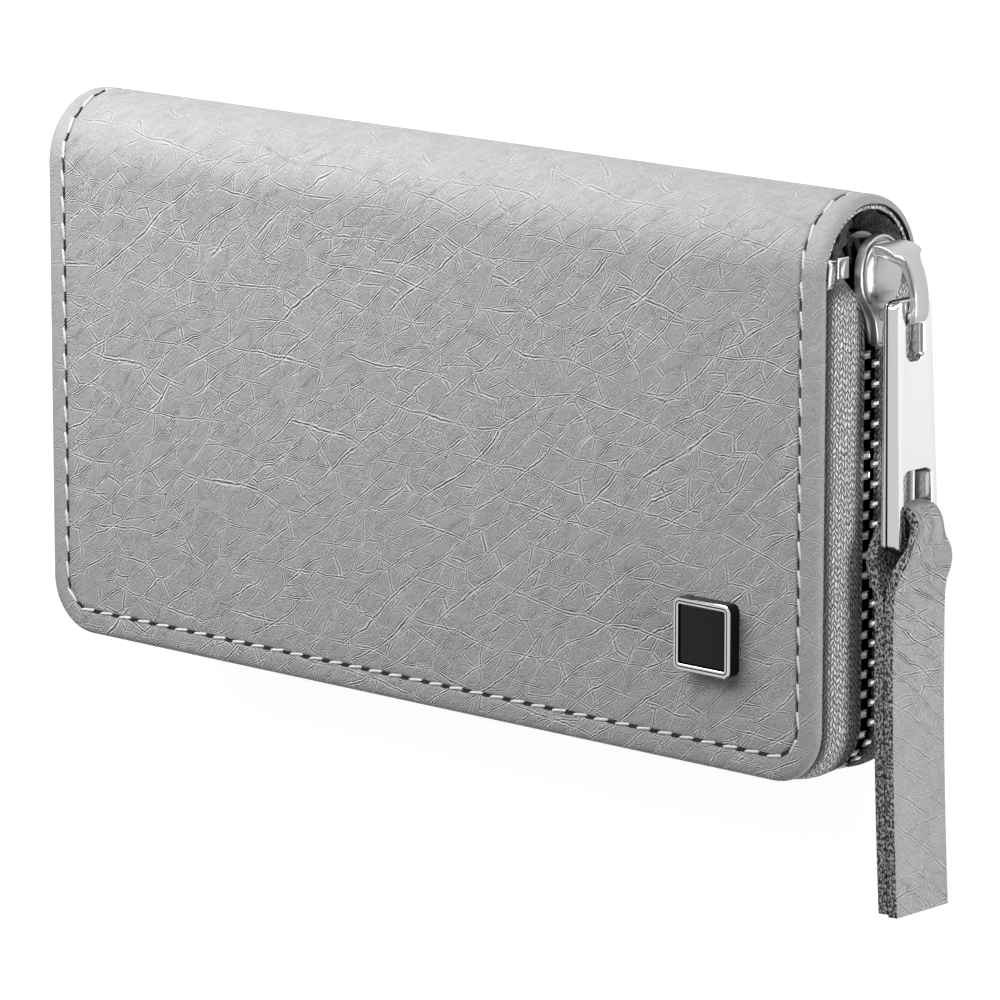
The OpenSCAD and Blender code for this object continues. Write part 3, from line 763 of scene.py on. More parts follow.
frontCover = makeCover("frontCover")
backCover = toBack(frontCover, "backCover")
for cover in (frontCover, backCover):
    mapLeather(cover)
finishPiece(frontCover, leather, "front_cover", ["front_leather"])
finishPiece(backCover, leather, "back_cover", ["back_leather"])
print("covers are made")


# spine: six skins, each arched over one fold of the frame
spineShape = {"fineStep": 1.5,  # degrees
              # distance from the end, radius: the turned edge and the lining's end
              "inner": [(0, 8.02), (0.08, 7.94), (0.9, 7.92), (0.95, 7.7), (0.42, 7.68), (0.36, 7.62), (0.36, 7.34),
                        (0.44, 7.27)],
              "ends": [-90, -72, -36, 0, 36, 72, 90], "lined": 7.93, "blendRadius": 8.5}


def archPoint(angle, radius, x=0.0):
    a = math.radians(angle)
    return Vector((x, archY + radius * math.cos(a), middle + radius * math.sin(a)))


def makeSkin(name, low, high):
    profile = [(0, archRadius - wallDrop)] + [(d, archRadius - drop) for d, drop in coverShape["rings"]]
    inner = spineShape["inner"]
    left = [(-hideHalf + d, r) for d, r in profile]
    right = [(hideHalf - d, r) for d, r in reversed(profile)]
    under = [(hideHalf - d, r) for d, r in inner] + [(-hideHalf + d, r) for d, r in reversed(inner)]
    outline = [archPoint(low, r, x) for x, r in left + right + under]
    obj = drawLine(name, outline, closed=True)
    startEdit(obj, "EDGE")
    bpy.ops.mesh.select_all(action="SELECT")
    steps = round((high - low) / spineShape["fineStep"])
    bpy.ops.mesh.spin(steps=steps, angle=-math.radians(high - low), center=(0, archY, middle), axis=(1, 0, 0))
    for end in (low, high):
        way = archPoint(end, 1) - archPoint(end, 0)
        across = Vector((0, -way.z, way.y))
        centre = archPoint(0, 0)
        pick(obj, "EDGE", lambda a, b: abs((a - centre).dot(across)) < 1e-3 and abs((b - centre).dot(across)) < 1e-3
             and (a - centre).dot(way) > 0)
        bpy.ops.mesh.edge_face_add()
    mergeDoubles()
    faceOutwards()
    endEdit()
    mapLeather(obj)
    return obj


skinEnds, blendRadius = spineShape["ends"], spineShape["blendRadius"]
for i in range(6):
    skin = makeSkin("spineSkin" + str(i + 1), skinEnds[i], skinEnds[i + 1])
    finishPiece(skin, leather)
    skin.data.materials.append(lining)
    skin.data.materials.append(liningEdge)
    for face in skin.data.polygons:
        radius = math.hypot(face.center.y - archY * mm, face.center.z - middle * mm)
        if radius < spineShape["lined"] * mm:
            face.material_index = 1 if abs(face.normal.x) < 0.5 else 2
    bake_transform(skin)
    strip = str(max(i, 1))
    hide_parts("spine_leather_" + strip, "spine_lining_" + strip)
print("spine is made")


# the path along the covers' edge
def alongEdge(s, inset, top=archY):  # place and heading after s mm, from the left top round to the right top
    radius = case["corner"] - inset
    straight = top - cornerY
    arc = radius * math.pi / 2
    foot = 2 * cornerX
    if s < straight:
        return -halfLength + inset, top - s, -90
    if s < straight + arc:
        a = 90 * (s - straight) / arc
        c, d = math.cos(math.radians(a)), math.sin(math.radians(a))
        return -cornerX - radius * c, cornerY - radius * d, a - 90
    if s < straight + arc + foot:
        return -cornerX + s - straight - arc, footY + inset, 0
    if s < straight + 2 * arc + foot:
        a = 90 * (s - straight - arc - foot) / arc
        c, d = math.cos(math.radians(a)), math.sin(math.radians(a))
        return cornerX + radius * d, cornerY - radius * c, a
    return halfLength - inset, cornerY + s - straight - 2 * arc - foot, 90


def edgeLength(inset, top=archY):
    return 2 * (top - cornerY) + math.pi * (case["corner"] - inset) + 2 * cornerX


# stitches: one seam along each edge, in its groove
stitching = {
    "inset": 3.15, "count": 69, "length": 1.9, "thread": 0.2, "tilt": 8,
    "groove": 0.3, "rise": 0.14,  # the groove's depth, and how far above its bottom the thread lies
    "ends": ((0.18, -0.08, 0.75), (0.1, -0.14, 0.5)),  # each step's reach, dip and taper
    # each needle hole is a near-black slot: the real hole plus the painted shade of the groove beside it
    "holeRadius": 0.3, "holeDepth": 0.1, "holeRise": 0.17,
    "gape": (3.1, 0.95, 1),  # stretched along the seam, the near-black hole stands for the painted shade of the groove between two stitches
    "halfPitch": 12.8,  # degrees on the arch, as are the places on the spine
    "spine": {"spine_1": [-77, -55.4], "spine_2": [-27.7], "spine_3": [0], "spine_4": [27.7], "spine_5": [55.4, 77]}}


def makeStitch():
    length, r = stitching["length"], stitching["thread"]
    obj = addTube("stitch", r, length, (0, 0, 0), 8, (0, math.pi / 2, 0))
    startEdit(obj)
    for way in (-1, 1):
        pick(obj, "FACE", lambda c, n: n.x * way > 0.9)
        for reach, drop, share in stitching["ends"]:
            extrudeBy((way * reach, 0, drop))
            bpy.ops.transform.resize(value=(1, share, share))
    endEdit()
    return obj


# a needle hole in near-black: painted shade of the hole and of the groove between stitches
def makeHole():
    obj = addTube("needleHoleShade", stitching["holeRadius"], stitching["holeDepth"], (0, 0, 0), 12)
    startEdit(obj)
    bpy.ops.mesh.select_all(action="SELECT")
    bpy.ops.transform.resize(value=stitching["gape"])
    pick(obj, "FACE", lambda c, n: n.z > 0.9)
    bpy.ops.mesh.inset(thickness=0.08, depth=-0.02)
    endEdit()
    return obj


oneStitch, oneHoleShade = makeStitch(), makeHole()
seam = edgeLength(stitching["inset"])
pitchAlong = seam / stitching["count"]
rise, holeRise = stitching["rise"], stitching["holeRise"]
dip = case["thickness"] - stitching["groove"]  # the bottom of the seam's groove
archDip = archRadius - stitching["groove"]
for body in ("front", "back"):
    flip = Matrix.Identity(4) if body == "front" else moved(0, 0, case["thickness"]) @ Matrix.Diagonal((1, 1, -1, 1))
    threads, holeShades = [], []
    for k in range(stitching["count"]):
        x, y, heading = alongEdge((k + 0.5) * pitchAlong, stitching["inset"])
        threads.append(copyTo(oneStitch, flip @ moved(x, y, dip + rise) @ turned("Z", heading + stitching["tilt"])))
        x, y, heading = alongEdge(k * pitchAlong, stitching["inset"])
        heading += random.uniform(2, 9)
        holeShades.append(copyTo(oneHoleShade, flip @ moved(x, y, dip + holeRise) @ turned("Z", heading)))
    for parts, title, look in ((threads, "Stitches", thread), (holeShades, "NeedleHoleShades", holeShade)):
        piece = joinAll(body + title, parts)
        startEdit(piece)
        faceOutwards()
        endEdit()
        finishPiece(piece, look, body + "_cover", angle=50)
for body, angles in stitching["spine"].items():
    threads, holeShades = [], []
    for way in (-1, 1):
        seamPlace = moved(way * (halfLength - stitching["inset"]), archY, middle)
        for angle in angles:
            lie = seamPlace @ turned("X", angle) @ moved(0, archDip + rise, 0) @ turned("X", -90)
            threads.append(copyTo(oneStitch, lie @ turned("Z", 90 + stitching["tilt"])))
            beside = turned("X", math.copysign(stitching["halfPitch"], -angle))  # half a stitch further on
            lie = seamPlace @ beside @ turned("X", angle) @ moved(0, archDip + holeRise, 0) @ turned("X", -90)
            holeShades.append(copyTo(oneHoleShade, lie @ turned("Z", 90)))
    finishPiece(joinAll(body + "Stitches", threads), thread, body, angle=50)
    finishPiece(joinAll(body + "NeedleHoleShades", holeShades), holeShade, body, angle=50)
for obj in (oneStitch, oneHoleShade):
    bpy.data.objects.remove(obj)
print("stitches are sewn")


# zip tapes
tapeShape = {
    # from the case's end outwards, height; from the leather down to the free edge
    "profile": [(0.85, 16.92), (0.5, 16.8), (0.22, 16.4), (0.02, 15.7), (-0.2, 14.6), (-0.34, 13.4), (-0.34, 12.3),
                (-0.2, 11.35), (-0.06, 10.95), (-0.2, 10.6), (-0.12, 10.3), (0.25, 10.1)],
    "thickness": 0.5, "high": 16.92, "low": 10.1, "top": 28.0, "weaveStretch": 1.04, "bendSteps": 12,
    "farRows": (26.6, 25.6, 24.8, 24, 23, 22, 20, 10, -10, cornerY),
    "sliderRows": (-10, 8, 17.3, 18.3, 19.3, 20.3, 21.3, 22.3, 23.3, 24.1, 24.9, 25.6, 26.6, 28.0),
    # where the free edge draws back towards the leather: y, height
    "sliderEnd": [(17.3, 10.1), (20.3, 10.35), (23.3, 11.6), (25.6, 14.1), (40, 14.1)],
    "farEnd": [(22, 10.1), (24, 11.6), (25.6, 14.1), (40, 14.1)]}


def readLine(line, at):  # the height of a broken line
    if at <= line[0][0]:
        return line[0][1]
    for (a, za), (b, zb) in zip(line, line[1:]):
        if at <= b:
            return za + (zb - za) * (at - a) / (b - a)
    return line[-1][1]


def makeTapePiece(name):
    steps = curved([(d, z, 0) for d, z in tapeShape["profile"]], 3)
    obj = drawLine(name, [(-halfLength + p[0], tapeShape["top"], p[1]) for p in steps])
    startEdit(obj, "EDGE")
    bpy.ops.mesh.select_all(action="SELECT")
    at, bend = tapeShape["top"], tapeShape["bendSteps"]
    for row in tapeShape["farRows"]:
        extrudeBy((0, row - at, 0))
        at = row
    bpy.ops.mesh.spin(steps=bend, angle=-math.pi / 2, center=(-cornerX, cornerY, 0), axis=(0, 0, 1))
    for k in range(4):
        extrudeBy((cornerX / 2, 0, 0))
    bpy.ops.mesh.spin(steps=bend, angle=-math.pi / 2, center=(cornerX, cornerY, 0), axis=(0, 0, 1))
    at = cornerY
    for row in tapeShape["sliderRows"]:
        extrudeBy((0, row - at, 0))
        at = row
    mergeDoubles()
    faceOutwards()
    endEdit()
    for v in obj.data.vertices:  # the free edge draws back
        low = readLine(tapeShape["sliderEnd" if v.co.x > 0 else "farEnd"], v.co.y)
        share = (tapeShape["high"] - low) / (tapeShape["high"] - tapeShape["low"])
        v.co.z = low + (v.co.z - tapeShape["low"]) * share
    return obj


def mapTape(obj):  # metres along the tape, and across it
    layer = obj.data.uv_layers.new(name="weaveMap")
    straight, arc = tapeShape["top"] - cornerY, case["corner"] * math.pi / 2
    mesh = obj.data
    for loop in mesh.loops:
        x, y, z = mesh.vertices[loop.vertex_index].co
        if y > cornerY:
            u = tapeShape["top"] - y if x < 0 else straight + 2 * arc + 2 * cornerX + y - cornerY
        elif abs(x) < cornerX:
            u = straight + arc + x + cornerX
        else:
            a = math.atan2(cornerY - y, abs(x) - cornerX)
            u = straight + a * case["corner"] if x < 0 else straight + 2 * arc + 2 * cornerX - a * case["corner"]
        layer.data[loop.index].uv = (u * mm, (z - middle) * mm * tapeShape["weaveStretch"])


frontTape = makeTapePiece("frontTape")
sample = frontTape.data.polygons[len(frontTape.data.polygons) // 2]
if sample.normal.y > 0:
    turnFaces(frontTape)
useModifier(frontTape, "SOLIDIFY", thickness=tapeShape["thickness"], offset=-1)
backTape = toBack(frontTape, "backTape")
for tape, body in ((frontTape, "front"), (backTape, "back")):
    mapTape(tape)
    finishPiece(tape, tapeCloth, body + "_cover", [body + "_tape"], angle=60)
print("tapes are made")


tapeEndShape = {
    "path": [(64.35, 25.1, 15.6), (64.25, 27.0, 14.9), (63.95, 28.9, 13.7), (63.4, 30.6, 12.2), (62.8, 31.7, 10.6),
             (62.3, 32.1, 9.3)],
    "width": 3.6, "thickness": 0.4, "crumple": 0.55}
clipShape = {
    "path": [(64.5, 24.7, 16.85), (64.9, 25.1, 16.9), (65.0, 26.2, 16.9), (64.95, 27.6, 16.75), (64.3, 28.2, 16.5),
             (63.5, 27.9, 16.3)],
    "width": 1.26, "thickness": 0.35}


def makeTapeEnd(name):  # the loose end of a tape, crumpled into the hollow above the slider
    path = curved(tapeEndShape["path"], 4)
    last = len(path) - 1
    half = tapeEndShape["width"] / 2
    obj = drawLine(name, [(p.x, p.y, p.z - half) for p in path])
    startEdit(obj, "EDGE")
    bpy.ops.mesh.select_all(action="SELECT")
    for k in range(9):
        extrudeBy((0, 0, 2 * half / 9))
    faceOutwards()
    endEdit()
    layer = obj.data.uv_layers.new(name="weaveMap")
    runs = [sum((b - a).length for a, b in zip(path[:i], path[1:i + 1])) for i in range(len(path))]
    where = {v.index: min(range(last + 1), key=lambda i: (path[i].xy - v.co.xy).length) for v in obj.data.vertices}
    for loop in obj.data.loops:
        v = obj.data.vertices[loop.vertex_index]
        layer.data[loop.index].uv = (runs[where[v.index]] * mm, v.co.z * mm)
    for v in obj.data.vertices:
        i = where[v.index]
        across = (v.co.z - path[i].z) / half
        way = (path[min(i + 1, last)] - path[max(i - 1, 0)]).normalized()
        flat = Vector((0.35, -way.z, way.y)).normalized()  # across the strip, turned as the strip turns inwards
        v.co = path[i] + flat * across * half * (1 - 0.25 * i / len(path))
        bump = math.sin(across * 5 + i * 0.9) * 0.5 + math.sin(i * 1.9 + across * 2.3 + 1) * 0.5
        v.co.x += tapeEndShape["crumple"] * bump * min(1, i / 4) - 0.1
    useModifier(obj, "SOLIDIFY", thickness=tapeEndShape["thickness"], offset=0)
    useModifier(obj, "SUBSURF", levels=1, render_levels=1)
    return obj


frontTapeEnd = makeTapeEnd("frontTapeEnd")
backTapeEnd = toBack(frontTapeEnd, "backTapeEnd")
for end, body in ((frontTapeEnd, "front"), (backTapeEnd, "back")):
    finishPiece(end, shadedTapeEndCloth, body + "_cover", angle=60)
clip = drawLine("tapeClip", [tuple(p) for p in curved(clipShape["path"], 4)])
startEdit(clip, "EDGE")
bpy.ops.mesh.select_all(action="SELECT")
for k in range(3):
    extrudeBy((0, 0, -clipShape["width"] / 3))
faceOutwards()
endEdit()
useModifier(clip, "SOLIDIFY", thickness=clipShape["thickness"], offset=0)
useModifier(clip, "BEVEL", width=0.1, segments=2, limit_method="ANGLE", angle_limit=math.radians(50))
finishPiece(clip, chrome, "front_cover", angle=50)
print("tape ends are made")


# zip teeth
teethShape = {"pitch": 2.4, "length": 0.98, "depth": 1.7, "height": 1.85, "inset": 0.75, "shift": 0.6, "top": 22.0,
              "run": 44.9, "spare": 0.6, "parting": 0.8, "foot": 0.05, "round": 0.16,
              "boss": ((0.1, -0.1), (0.14, 0.16))}  # a raised boss on each tooth's outer end, in brighter chrome: a painted glint


def makeTooth():
    half, deep = teethShape["length"] / 2, teethShape["depth"] / 2
    obj = addBox("tooth", (-half, -deep, teethShape["foot"]), (half, deep, teethShape["height"]))
    startEdit(obj, "EDGE")
    bpy.ops.mesh.select_all(action="SELECT")
    bpy.ops.mesh.bevel(offset=teethShape["round"], segments=2, profile=0.6)
    pick(obj, "FACE", lambda c, n: n.y < -0.95 and c.y < 0.05 - deep)
    insetSteps(teethShape["boss"])
    # the boss's faces take chrome, brighter than the tooth metal: a painted glint
    obj.data.materials.append(toothMetal)
    obj.data.materials.append(chrome)
    obj.active_material_index = 1
    bpy.ops.object.material_slot_assign()
    endEdit()
    return obj


oneTooth = makeTooth()
chainLength = edgeLength(teethShape["inset"], teethShape["top"])
runStart = chainLength - (teethShape["top"] - cornerY)
runEnd = runStart + teethShape["run"] - teethShape["spare"]
parting = runStart - teethShape["parting"]  # where the teeth of the slider's run begin
for body, shift in (("back", teethShape["shift"]), ("front", teethShape["shift"] + teethShape["pitch"] / 2)):
    flip = Matrix.Identity(4) if body == "front" else Matrix.Diagonal((1, 1, -1, 1))
    for title, node, start, stop in (("Teeth", "_teeth", 0, parting), ("RunTeeth", "_run_teeth", parting, runEnd)):
        teeth = []
        k = math.ceil((start - shift) / teethShape["pitch"])
        while shift + k * teethShape["pitch"] <= stop:
            x, y, heading = alongEdge(shift + k * teethShape["pitch"], teethShape["inset"], teethShape["top"])
            wobble = random.uniform(-1.5, 1.5)
            teeth.append(copyTo(oneTooth, moved(x, y, middle) @ turned("Z", heading + wobble) @ flip))
            k += 1
        piece = joinAll(body + title, teeth)
        startEdit(piece)
        faceOutwards()
        endEdit()
        # the front row's bosses take satin chrome instead: a dimmer painted glint
        if body == "front":
            piece.data.materials[1] = satinChrome
        finishPiece(piece, None, body + "_cover", [body + node], angle=40)
bpy.data.objects.remove(oneTooth)
print("teeth are made")


# slider
sliderShape = {
    "foot": 17.3, "top": 30.5, "halfWidth": 4.3, "plate": 66.55, "chain": 64.25,
    "outerShare": 0.88,  # the outer plate is narrower than the inner one
    "dome": [(22.4, 1.6), (22.9, 2.35), (24.2, 3.0), (25.8, 3.28), (27.2, 3.2), (28.5, 2.65), (29.4, 1.8), (29.8, 0.8)],
    "plateThickness": 0.97, "plateRings": ((0.09, 0.1), (0.07, 0.03), (0.11, 0), (0.06, -0.08), (0.05, -0.18)),
    "domeRings": ((0.05, 0.12), (0.12, 0.13), (0.2, 0.13), (0.3, 0.12), (0.35, 0.09), (0.4, 0.05)),
    "flange": [(17.3, 2.45), (21.9, 2.45), (23.1, 3.76), (22.3, 3.61), (18.1, 3.44), (17.4, 3.1)],
    "leg": [(17.5, 0.75), (19.0, 1.2), (20.4, 1.65), (21.6, 2.3), (22.8, 3.2), (23.9, 3.85), (24.4, 3.6), (23.2, 2.6),
            (21.6, 1.7), (20.2, 1.15), (18.8, 0.75), (17.5, 0.4)],
    "divider": [(25.1, 0), (27.1, -1.05), (30.0, -1.2), (30.0, 1.2), (27.1, 1.05)]}


def sliderOutline(x):
    f, t, w = sliderShape["foot"], sliderShape["top"], sliderShape["halfWidth"]
    foot = [(f, 0.13), (f + 0.3, 0.18), (f + 1.6, 0.21), (f + 3.0, 0.29), (f + 4.2, 0.46), (f + 5.4, 0.7),
            (f + 6.5, 0.9)]
    broad = [(f, 0.68), (f + 0.4, 0.78), (f + 2.2, 0.82), (f + 4.6, 0.86), (f + 6.5, 0.95)]
    head = [(f + 7.8, 1), (f + 9.2, 1), (f + 10.4, 0.95), (t - 1.5, 0.8), (t - 0.7, 0.58), (t - 0.15, 0.3), (t, 0.1)]
    one = (foot if x > sliderShape["chain"] else broad) + head
    w *= sliderShape["outerShare"] if x > sliderShape["chain"] else 1
    return [(x, y, -w * k + middle) for y, k in one] + [(x, y, w * k + middle) for y, k in reversed(one)]


def makePlate(name, x, out):  # out is +1 where the outer face looks along +X
    obj = slab(name, sliderOutline(x), (sliderShape["plateThickness"], 0, 0))
    startEdit(obj)
    pick(obj, "FACE", lambda c, n: n.x * out > 0.9)
    insetSteps(sliderShape["plateRings"])
    endEdit()
    return obj


def makeSlider():
    plate, chain = sliderShape["plate"], sliderShape["chain"]
    outer = makePlate("outerPlate", plate - 1.1, 1)
    inner = makePlate("innerPlate", chain - 2.17, -1)
    half = sliderShape["dome"]
    rim = [(plate - 0.4, y, middle - z) for y, z in half] + [(plate - 0.4, y, middle + z) for y, z in reversed(half)]
    dome = slab("dome", curved(rim, 2), (0.5, 0, 0))
    startEdit(dome)
    pick(dome, "FACE", lambda c, n: n.x > 0.9)
    insetSteps(sliderShape["domeRings"])
    endEdit()
    parts = [outer, inner, dome]
    for way in (-1, 1):
        line = [(chain - 1.2, y, middle + way * z) for y, z in sliderShape["flange"]]
        parts.append(slab("flange", line, (0.72, 0, 0)))
        line = [(chain + 0.55, y, middle + way * z * sliderShape["outerShare"]) for y, z in sliderShape["leg"]]
        parts.append(slab("leg", line, (0.7, 0, 0)))
    line = [(chain - 1.3, y, middle + z) for y, z in sliderShape["divider"]]
    parts.append(slab("divider", line, (2.6, 0, 0)))
    for part in parts[3:]:
        useModifier(part, "BEVEL", width=0.12, segments=2, limit_method="ANGLE", angle_limit=math.radians(40))
    return joinAll("sliderBody", parts)


sliderBody = finishPiece(makeSlider(), satinChrome, "slider", ["slider_body"], angle=28)
sliderBody.data.materials.append(toothMetal)
for face in sliderBody.data.polygons:  # painted shade: the plate inside the case takes the dark tooth metal, as it sits in the shaded hollow
    if face.center.x < sliderShape["chain"] * mm:
        face.material_index = 1


crownShape = {"rise": 6.15, "width": 2.5, "flare": 1.15, "flareFrom": 27.3, "flareRun": 1.1, "flareTo": 70.95,
              "flareEnd": 0.7}


def makeCrown():
    x, h = sliderShape["plate"] + 0.55, crownShape["rise"] - 0.55
    outer = [(x, 29.75), (x + h * 0.3, 29.68), (x + h * 0.6, 29.05), (x + h * 0.84, 27.2), (x + h * 0.97, 24.8),
             (x + h, 22.6), (x + h * 0.96, 21.3), (x + h * 0.82, 20.55), (x + h * 0.5, 20.35), (x, 20.6)]
    inner = [(x, 22.0), (x + h * 0.5, 21.6), (x + h - 1.75, 21.62), (x + h - 1.25, 22.1), (x + h - 1.1, 23.1),
             (x + h - 1.15, 24.6), (x + h * 0.84 - 1.05, 26.4), (x + h * 0.6 - 0.7, 27.75), (x + h * 0.3, 28.25),
             (x, 28.2)]
    half = crownShape["width"] / 2
    line = curved([(a, b, 0) for a, b in outer], 4) + curved([(a, b, 0) for a, b in inner], 4)
    obj = slab("sliderCrown", [(p[0], p[1], middle - half) for p in line], (0, 0, 2 * half))
    startEdit(obj)
    for way in (-1, 1):
        pick(obj, "FACE", lambda c, n: n.z * way > 0.9)
        insetSteps(((0.24, 0), (0.1, -0.05)))
    endEdit()
    useModifier(obj, "BEVEL", width=0.2, segments=3, limit_method="ANGLE", angle_limit=math.radians(65))
    for v in obj.data.vertices:  # wider where it springs from the top of the plate
        grow = max(0.0, min(1.0, (v.co.y - crownShape["flareFrom"]) / crownShape["flareRun"]))
        grow *= max(0.0, min(1.0, (crownShape["flareTo"] - v.co.x) / crownShape["flareEnd"]))
        grow = grow * grow * (3 - 2 * grow)
        v.co.z = middle + (v.co.z - middle) * (1 + crownShape["flare"] * grow)
    return obj


finishPiece(makeCrown(), satinChrome, "slider", ["slider_crown"], angle=40)
print("slider is made")


# pull
pullShape = {"length": 29.5, "topWidth": 6.4, "footWidth": 7.6, "thickness": 2.2, "lean": 2.2, "bar": 1.5,
             "eyeLength": 5.8, "eyeWidth": 3.1, "slotLength": 7.8, "slotWidth": 4.9, "axis": (70.4, 22.7),
             "footSwell": 0.65, "channel": ((0.55, 0), (0.12, -0.16)),
             "corners": (1.1, 0.8, 0.8, 1.1), "eyeCorners": (0.4, 1.2, 1.2, 0.4), "slotCorners": (0.9, 0.3, 0.3, 0.9)}


def roundedLoop(corners, rounds, steps=6):  # a convex loop, each corner rounded by its own radius
    out = []
    n = len(corners)
    for i in range(n):
        p, a, b = (Vector(corners[j % n]) for j in (i, i - 1, i + 1))
        r = rounds[i]
        da, db = (a - p).normalized(), (b - p).normalized()
        half = da.angle(db) / 2
        centre = p + (da + db).normalized() * (r / math.sin(half))
        start, end = p + da * (r / math.tan(half)), p + db * (r / math.tan(half))
        for k in range(steps + 1):
            t = k / steps
            way = ((start - centre) * (1 - t) + (end - centre) * t).normalized()
            out.append(centre + way * r)
    return out


def makePull():
    top = pullShape["bar"] / 2
    foot = top - pullShape["length"]
    a, b, t = pullShape["topWidth"] / 2, pullShape["footWidth"] / 2, pullShape["thickness"]
    shape = roundedLoop([(top, -a), (foot, -b), (foot, b), (top, a)], pullShape["corners"])
    obj = slab("zipPull", [(-t / 2, p[0], p[1]) for p in shape], (t, 0, 0))
    startEdit(obj)
    pick(obj, "FACE", lambda c, n: abs(n.x) < 0.5)  # a shallow channel round the pull's side
    insetSteps(pullShape["channel"])
    obj.data.materials.append(chrome)
    obj.data.materials.append(paintedShadeMetal)
    obj.active_material_index = 1
    # the channel's steep walls get the near-black metal: painted shade
    pick(obj, "FACE", lambda c, n: 0.5 < abs(n.x) < 0.97)
    bpy.ops.object.material_slot_assign()
    endEdit()
    e = pullShape["eyeWidth"] / 2
    eyeTop = top - pullShape["bar"]
    eyeFoot = eyeTop - pullShape["eyeLength"]
    window = roundedLoop([(eyeTop, -e), (eyeFoot, -e), (eyeFoot, e), (eyeTop, e)], pullShape["eyeCorners"])
    cutAway(obj, slab("window", [(-3, p[0], p[1]) for p in window], (6, 0, 0)))
    s = pullShape["slotWidth"] / 2
    slotFoot = foot + pullShape["bar"]
    slotTop = slotFoot + pullShape["slotLength"]
    opening = roundedLoop([(slotTop, -s), (slotFoot, -s), (slotFoot, s), (slotTop, s)], pullShape["slotCorners"])
    cutAway(obj, slab("opening", [(-3, p[0], p[1]) for p in opening], (6, 0, 0)))
    useModifier(obj, "BEVEL", width=0.28, segments=3, limit_method="ANGLE", angle_limit=math.radians(65))
    for v in obj.data.vertices:
        if v.co.x < 0:
            v.co.x *= 1 + pullShape["footSwell"] * max(0.0, -v.co.y / pullShape["length"]) ** 1.3
    obj.data.transform(moved(*pullShape["axis"], middle) @ turned("Z", pullShape["lean"]))
    return obj


finishPiece(makePull(), None, "pull", ["zip_pull"], angle=30)
print("pull is made")


# leather strap through the pull
strapShape = {
    "x": 71.45, "thickness": 1.42, "width": 9.6, "neck": 4.5, "lean": 1.1, "rows": 16, "crease": 0.16,
    # from the strap's plane, y: up the front layer, over the bar and down the back layer
    "path": [(0.74, -49.75), (0.74, -44), (0.74, -36), (0.74, -28), (0.74, -20), (0.74, -13.4), (0.95, -10.6),
             (1.65, -8.5), (2.3, -6.6), (2.55, -4.6), (2.3, -2.7), (1.2, -1.45), (-0.5, -1.3), (-2.05, -2.3),
             (-2.75, -4.6), (-2.6, -6.9), (-1.8, -8.9), (-0.98, -10.9), (-0.74, -13.6), (-0.74, -20), (-0.74, -28),
             (-0.74, -36), (-0.74, -44), (-0.74, -49.55)]}


def makeStrap():
    fine = curved([(a, b, 0) for a, b in strapShape["path"]], 5)
    line = [(strapShape["x"] + p[0], p[1], middle - 0.5) for p in fine]
    obj = drawLine("strap", line)
    startEdit(obj, "EDGE")
    bpy.ops.mesh.select_all(action="SELECT")
    for k in range(strapShape["rows"]):  # one wide for now
        extrudeBy((0, 0, 1 / strapShape["rows"]))
    mergeDoubles()
    faceOutwards()
    endEdit()
    total, at = 0.0, {}
    for i, p in enumerate(fine):
        if i:
            total += (p - fine[i - 1]).length
        at[(round(strapShape["x"] + p[0], 3), round(p[1], 3))] = total
    layer = obj.data.uv_layers.new(name="leatherMap")
    for loop in obj.data.loops:
        co = obj.data.vertices[loop.vertex_index].co
        key = (round(co.x, 3), round(co.y, 3))
        layer.data[loop.index].uv = ((co.z - middle) * strapShape["width"] * mm, at[key] * mm)
    for v in obj.data.vertices:
        across = (v.co.z - middle) * 2
        y = v.co.y
        fold = max(0.0, min(1.0, (-2.6 - y) / 6.2))
        fold = fold * fold * (3 - 2 * fold)
        width = strapShape["neck"] + (strapShape["width"] - strapShape["neck"]) * fold
        v.co.z = middle + across * width / 2
        v.co.x += strapShape["lean"] * max(0.0, (-20 - y) / 30) ** 1.6
        v.co.x += 0.18 * math.cos(across * 1.4) * (1 - fold) - 0.1
        if v.co.x > strapShape["x"]:  # the front layer creases below the bar
            v.co.x += strapShape["crease"] * math.cos(across * 7 + y * 0.9) * math.exp(-((y + 4.6) / 2.2) ** 2)
    sample = max(obj.data.polygons, key=lambda f: f.center.x)
    if sample.normal.x < 0:
        turnFaces(obj)
    obj.data.materials.append(strapLeather)
    obj.data.materials.append(rawEdge)
    useModifier(obj, "SOLIDIFY", thickness=strapShape["thickness"], offset=0, use_even_offset=True,
                material_offset=1, material_offset_rim=1, use_rim=True)
    useModifier(obj, "BEVEL", width=0.14, segments=2, limit_method="ANGLE", angle_limit=math.radians(60))
    return obj


strap = makeStrap()
finishPiece(strap, None, "strap", ["pull_strap"], angle=40)
print("strap is made")


# badge
badgeShape = {"x": 48.3, "y": -18.7, "width": 8.9, "height": 1.8, "rim": 0.83, "corner": 1.0, "inlayCorner": 0.4,
              "rings": ((0.1, 0.1), (0.08, 0.02), (0.2, 0), (0.05, -0.16), (0.06, 0), (0.05, 0.16), (0.2, 0),
                        (0.05, -0.04), (0.04, -0.5)),
              "inlayRings": ((0.05, 0.05), (0.1, 0.05), (0.18, 0.03))}
badgeTop = case["thickness"] + badgeShape["height"]


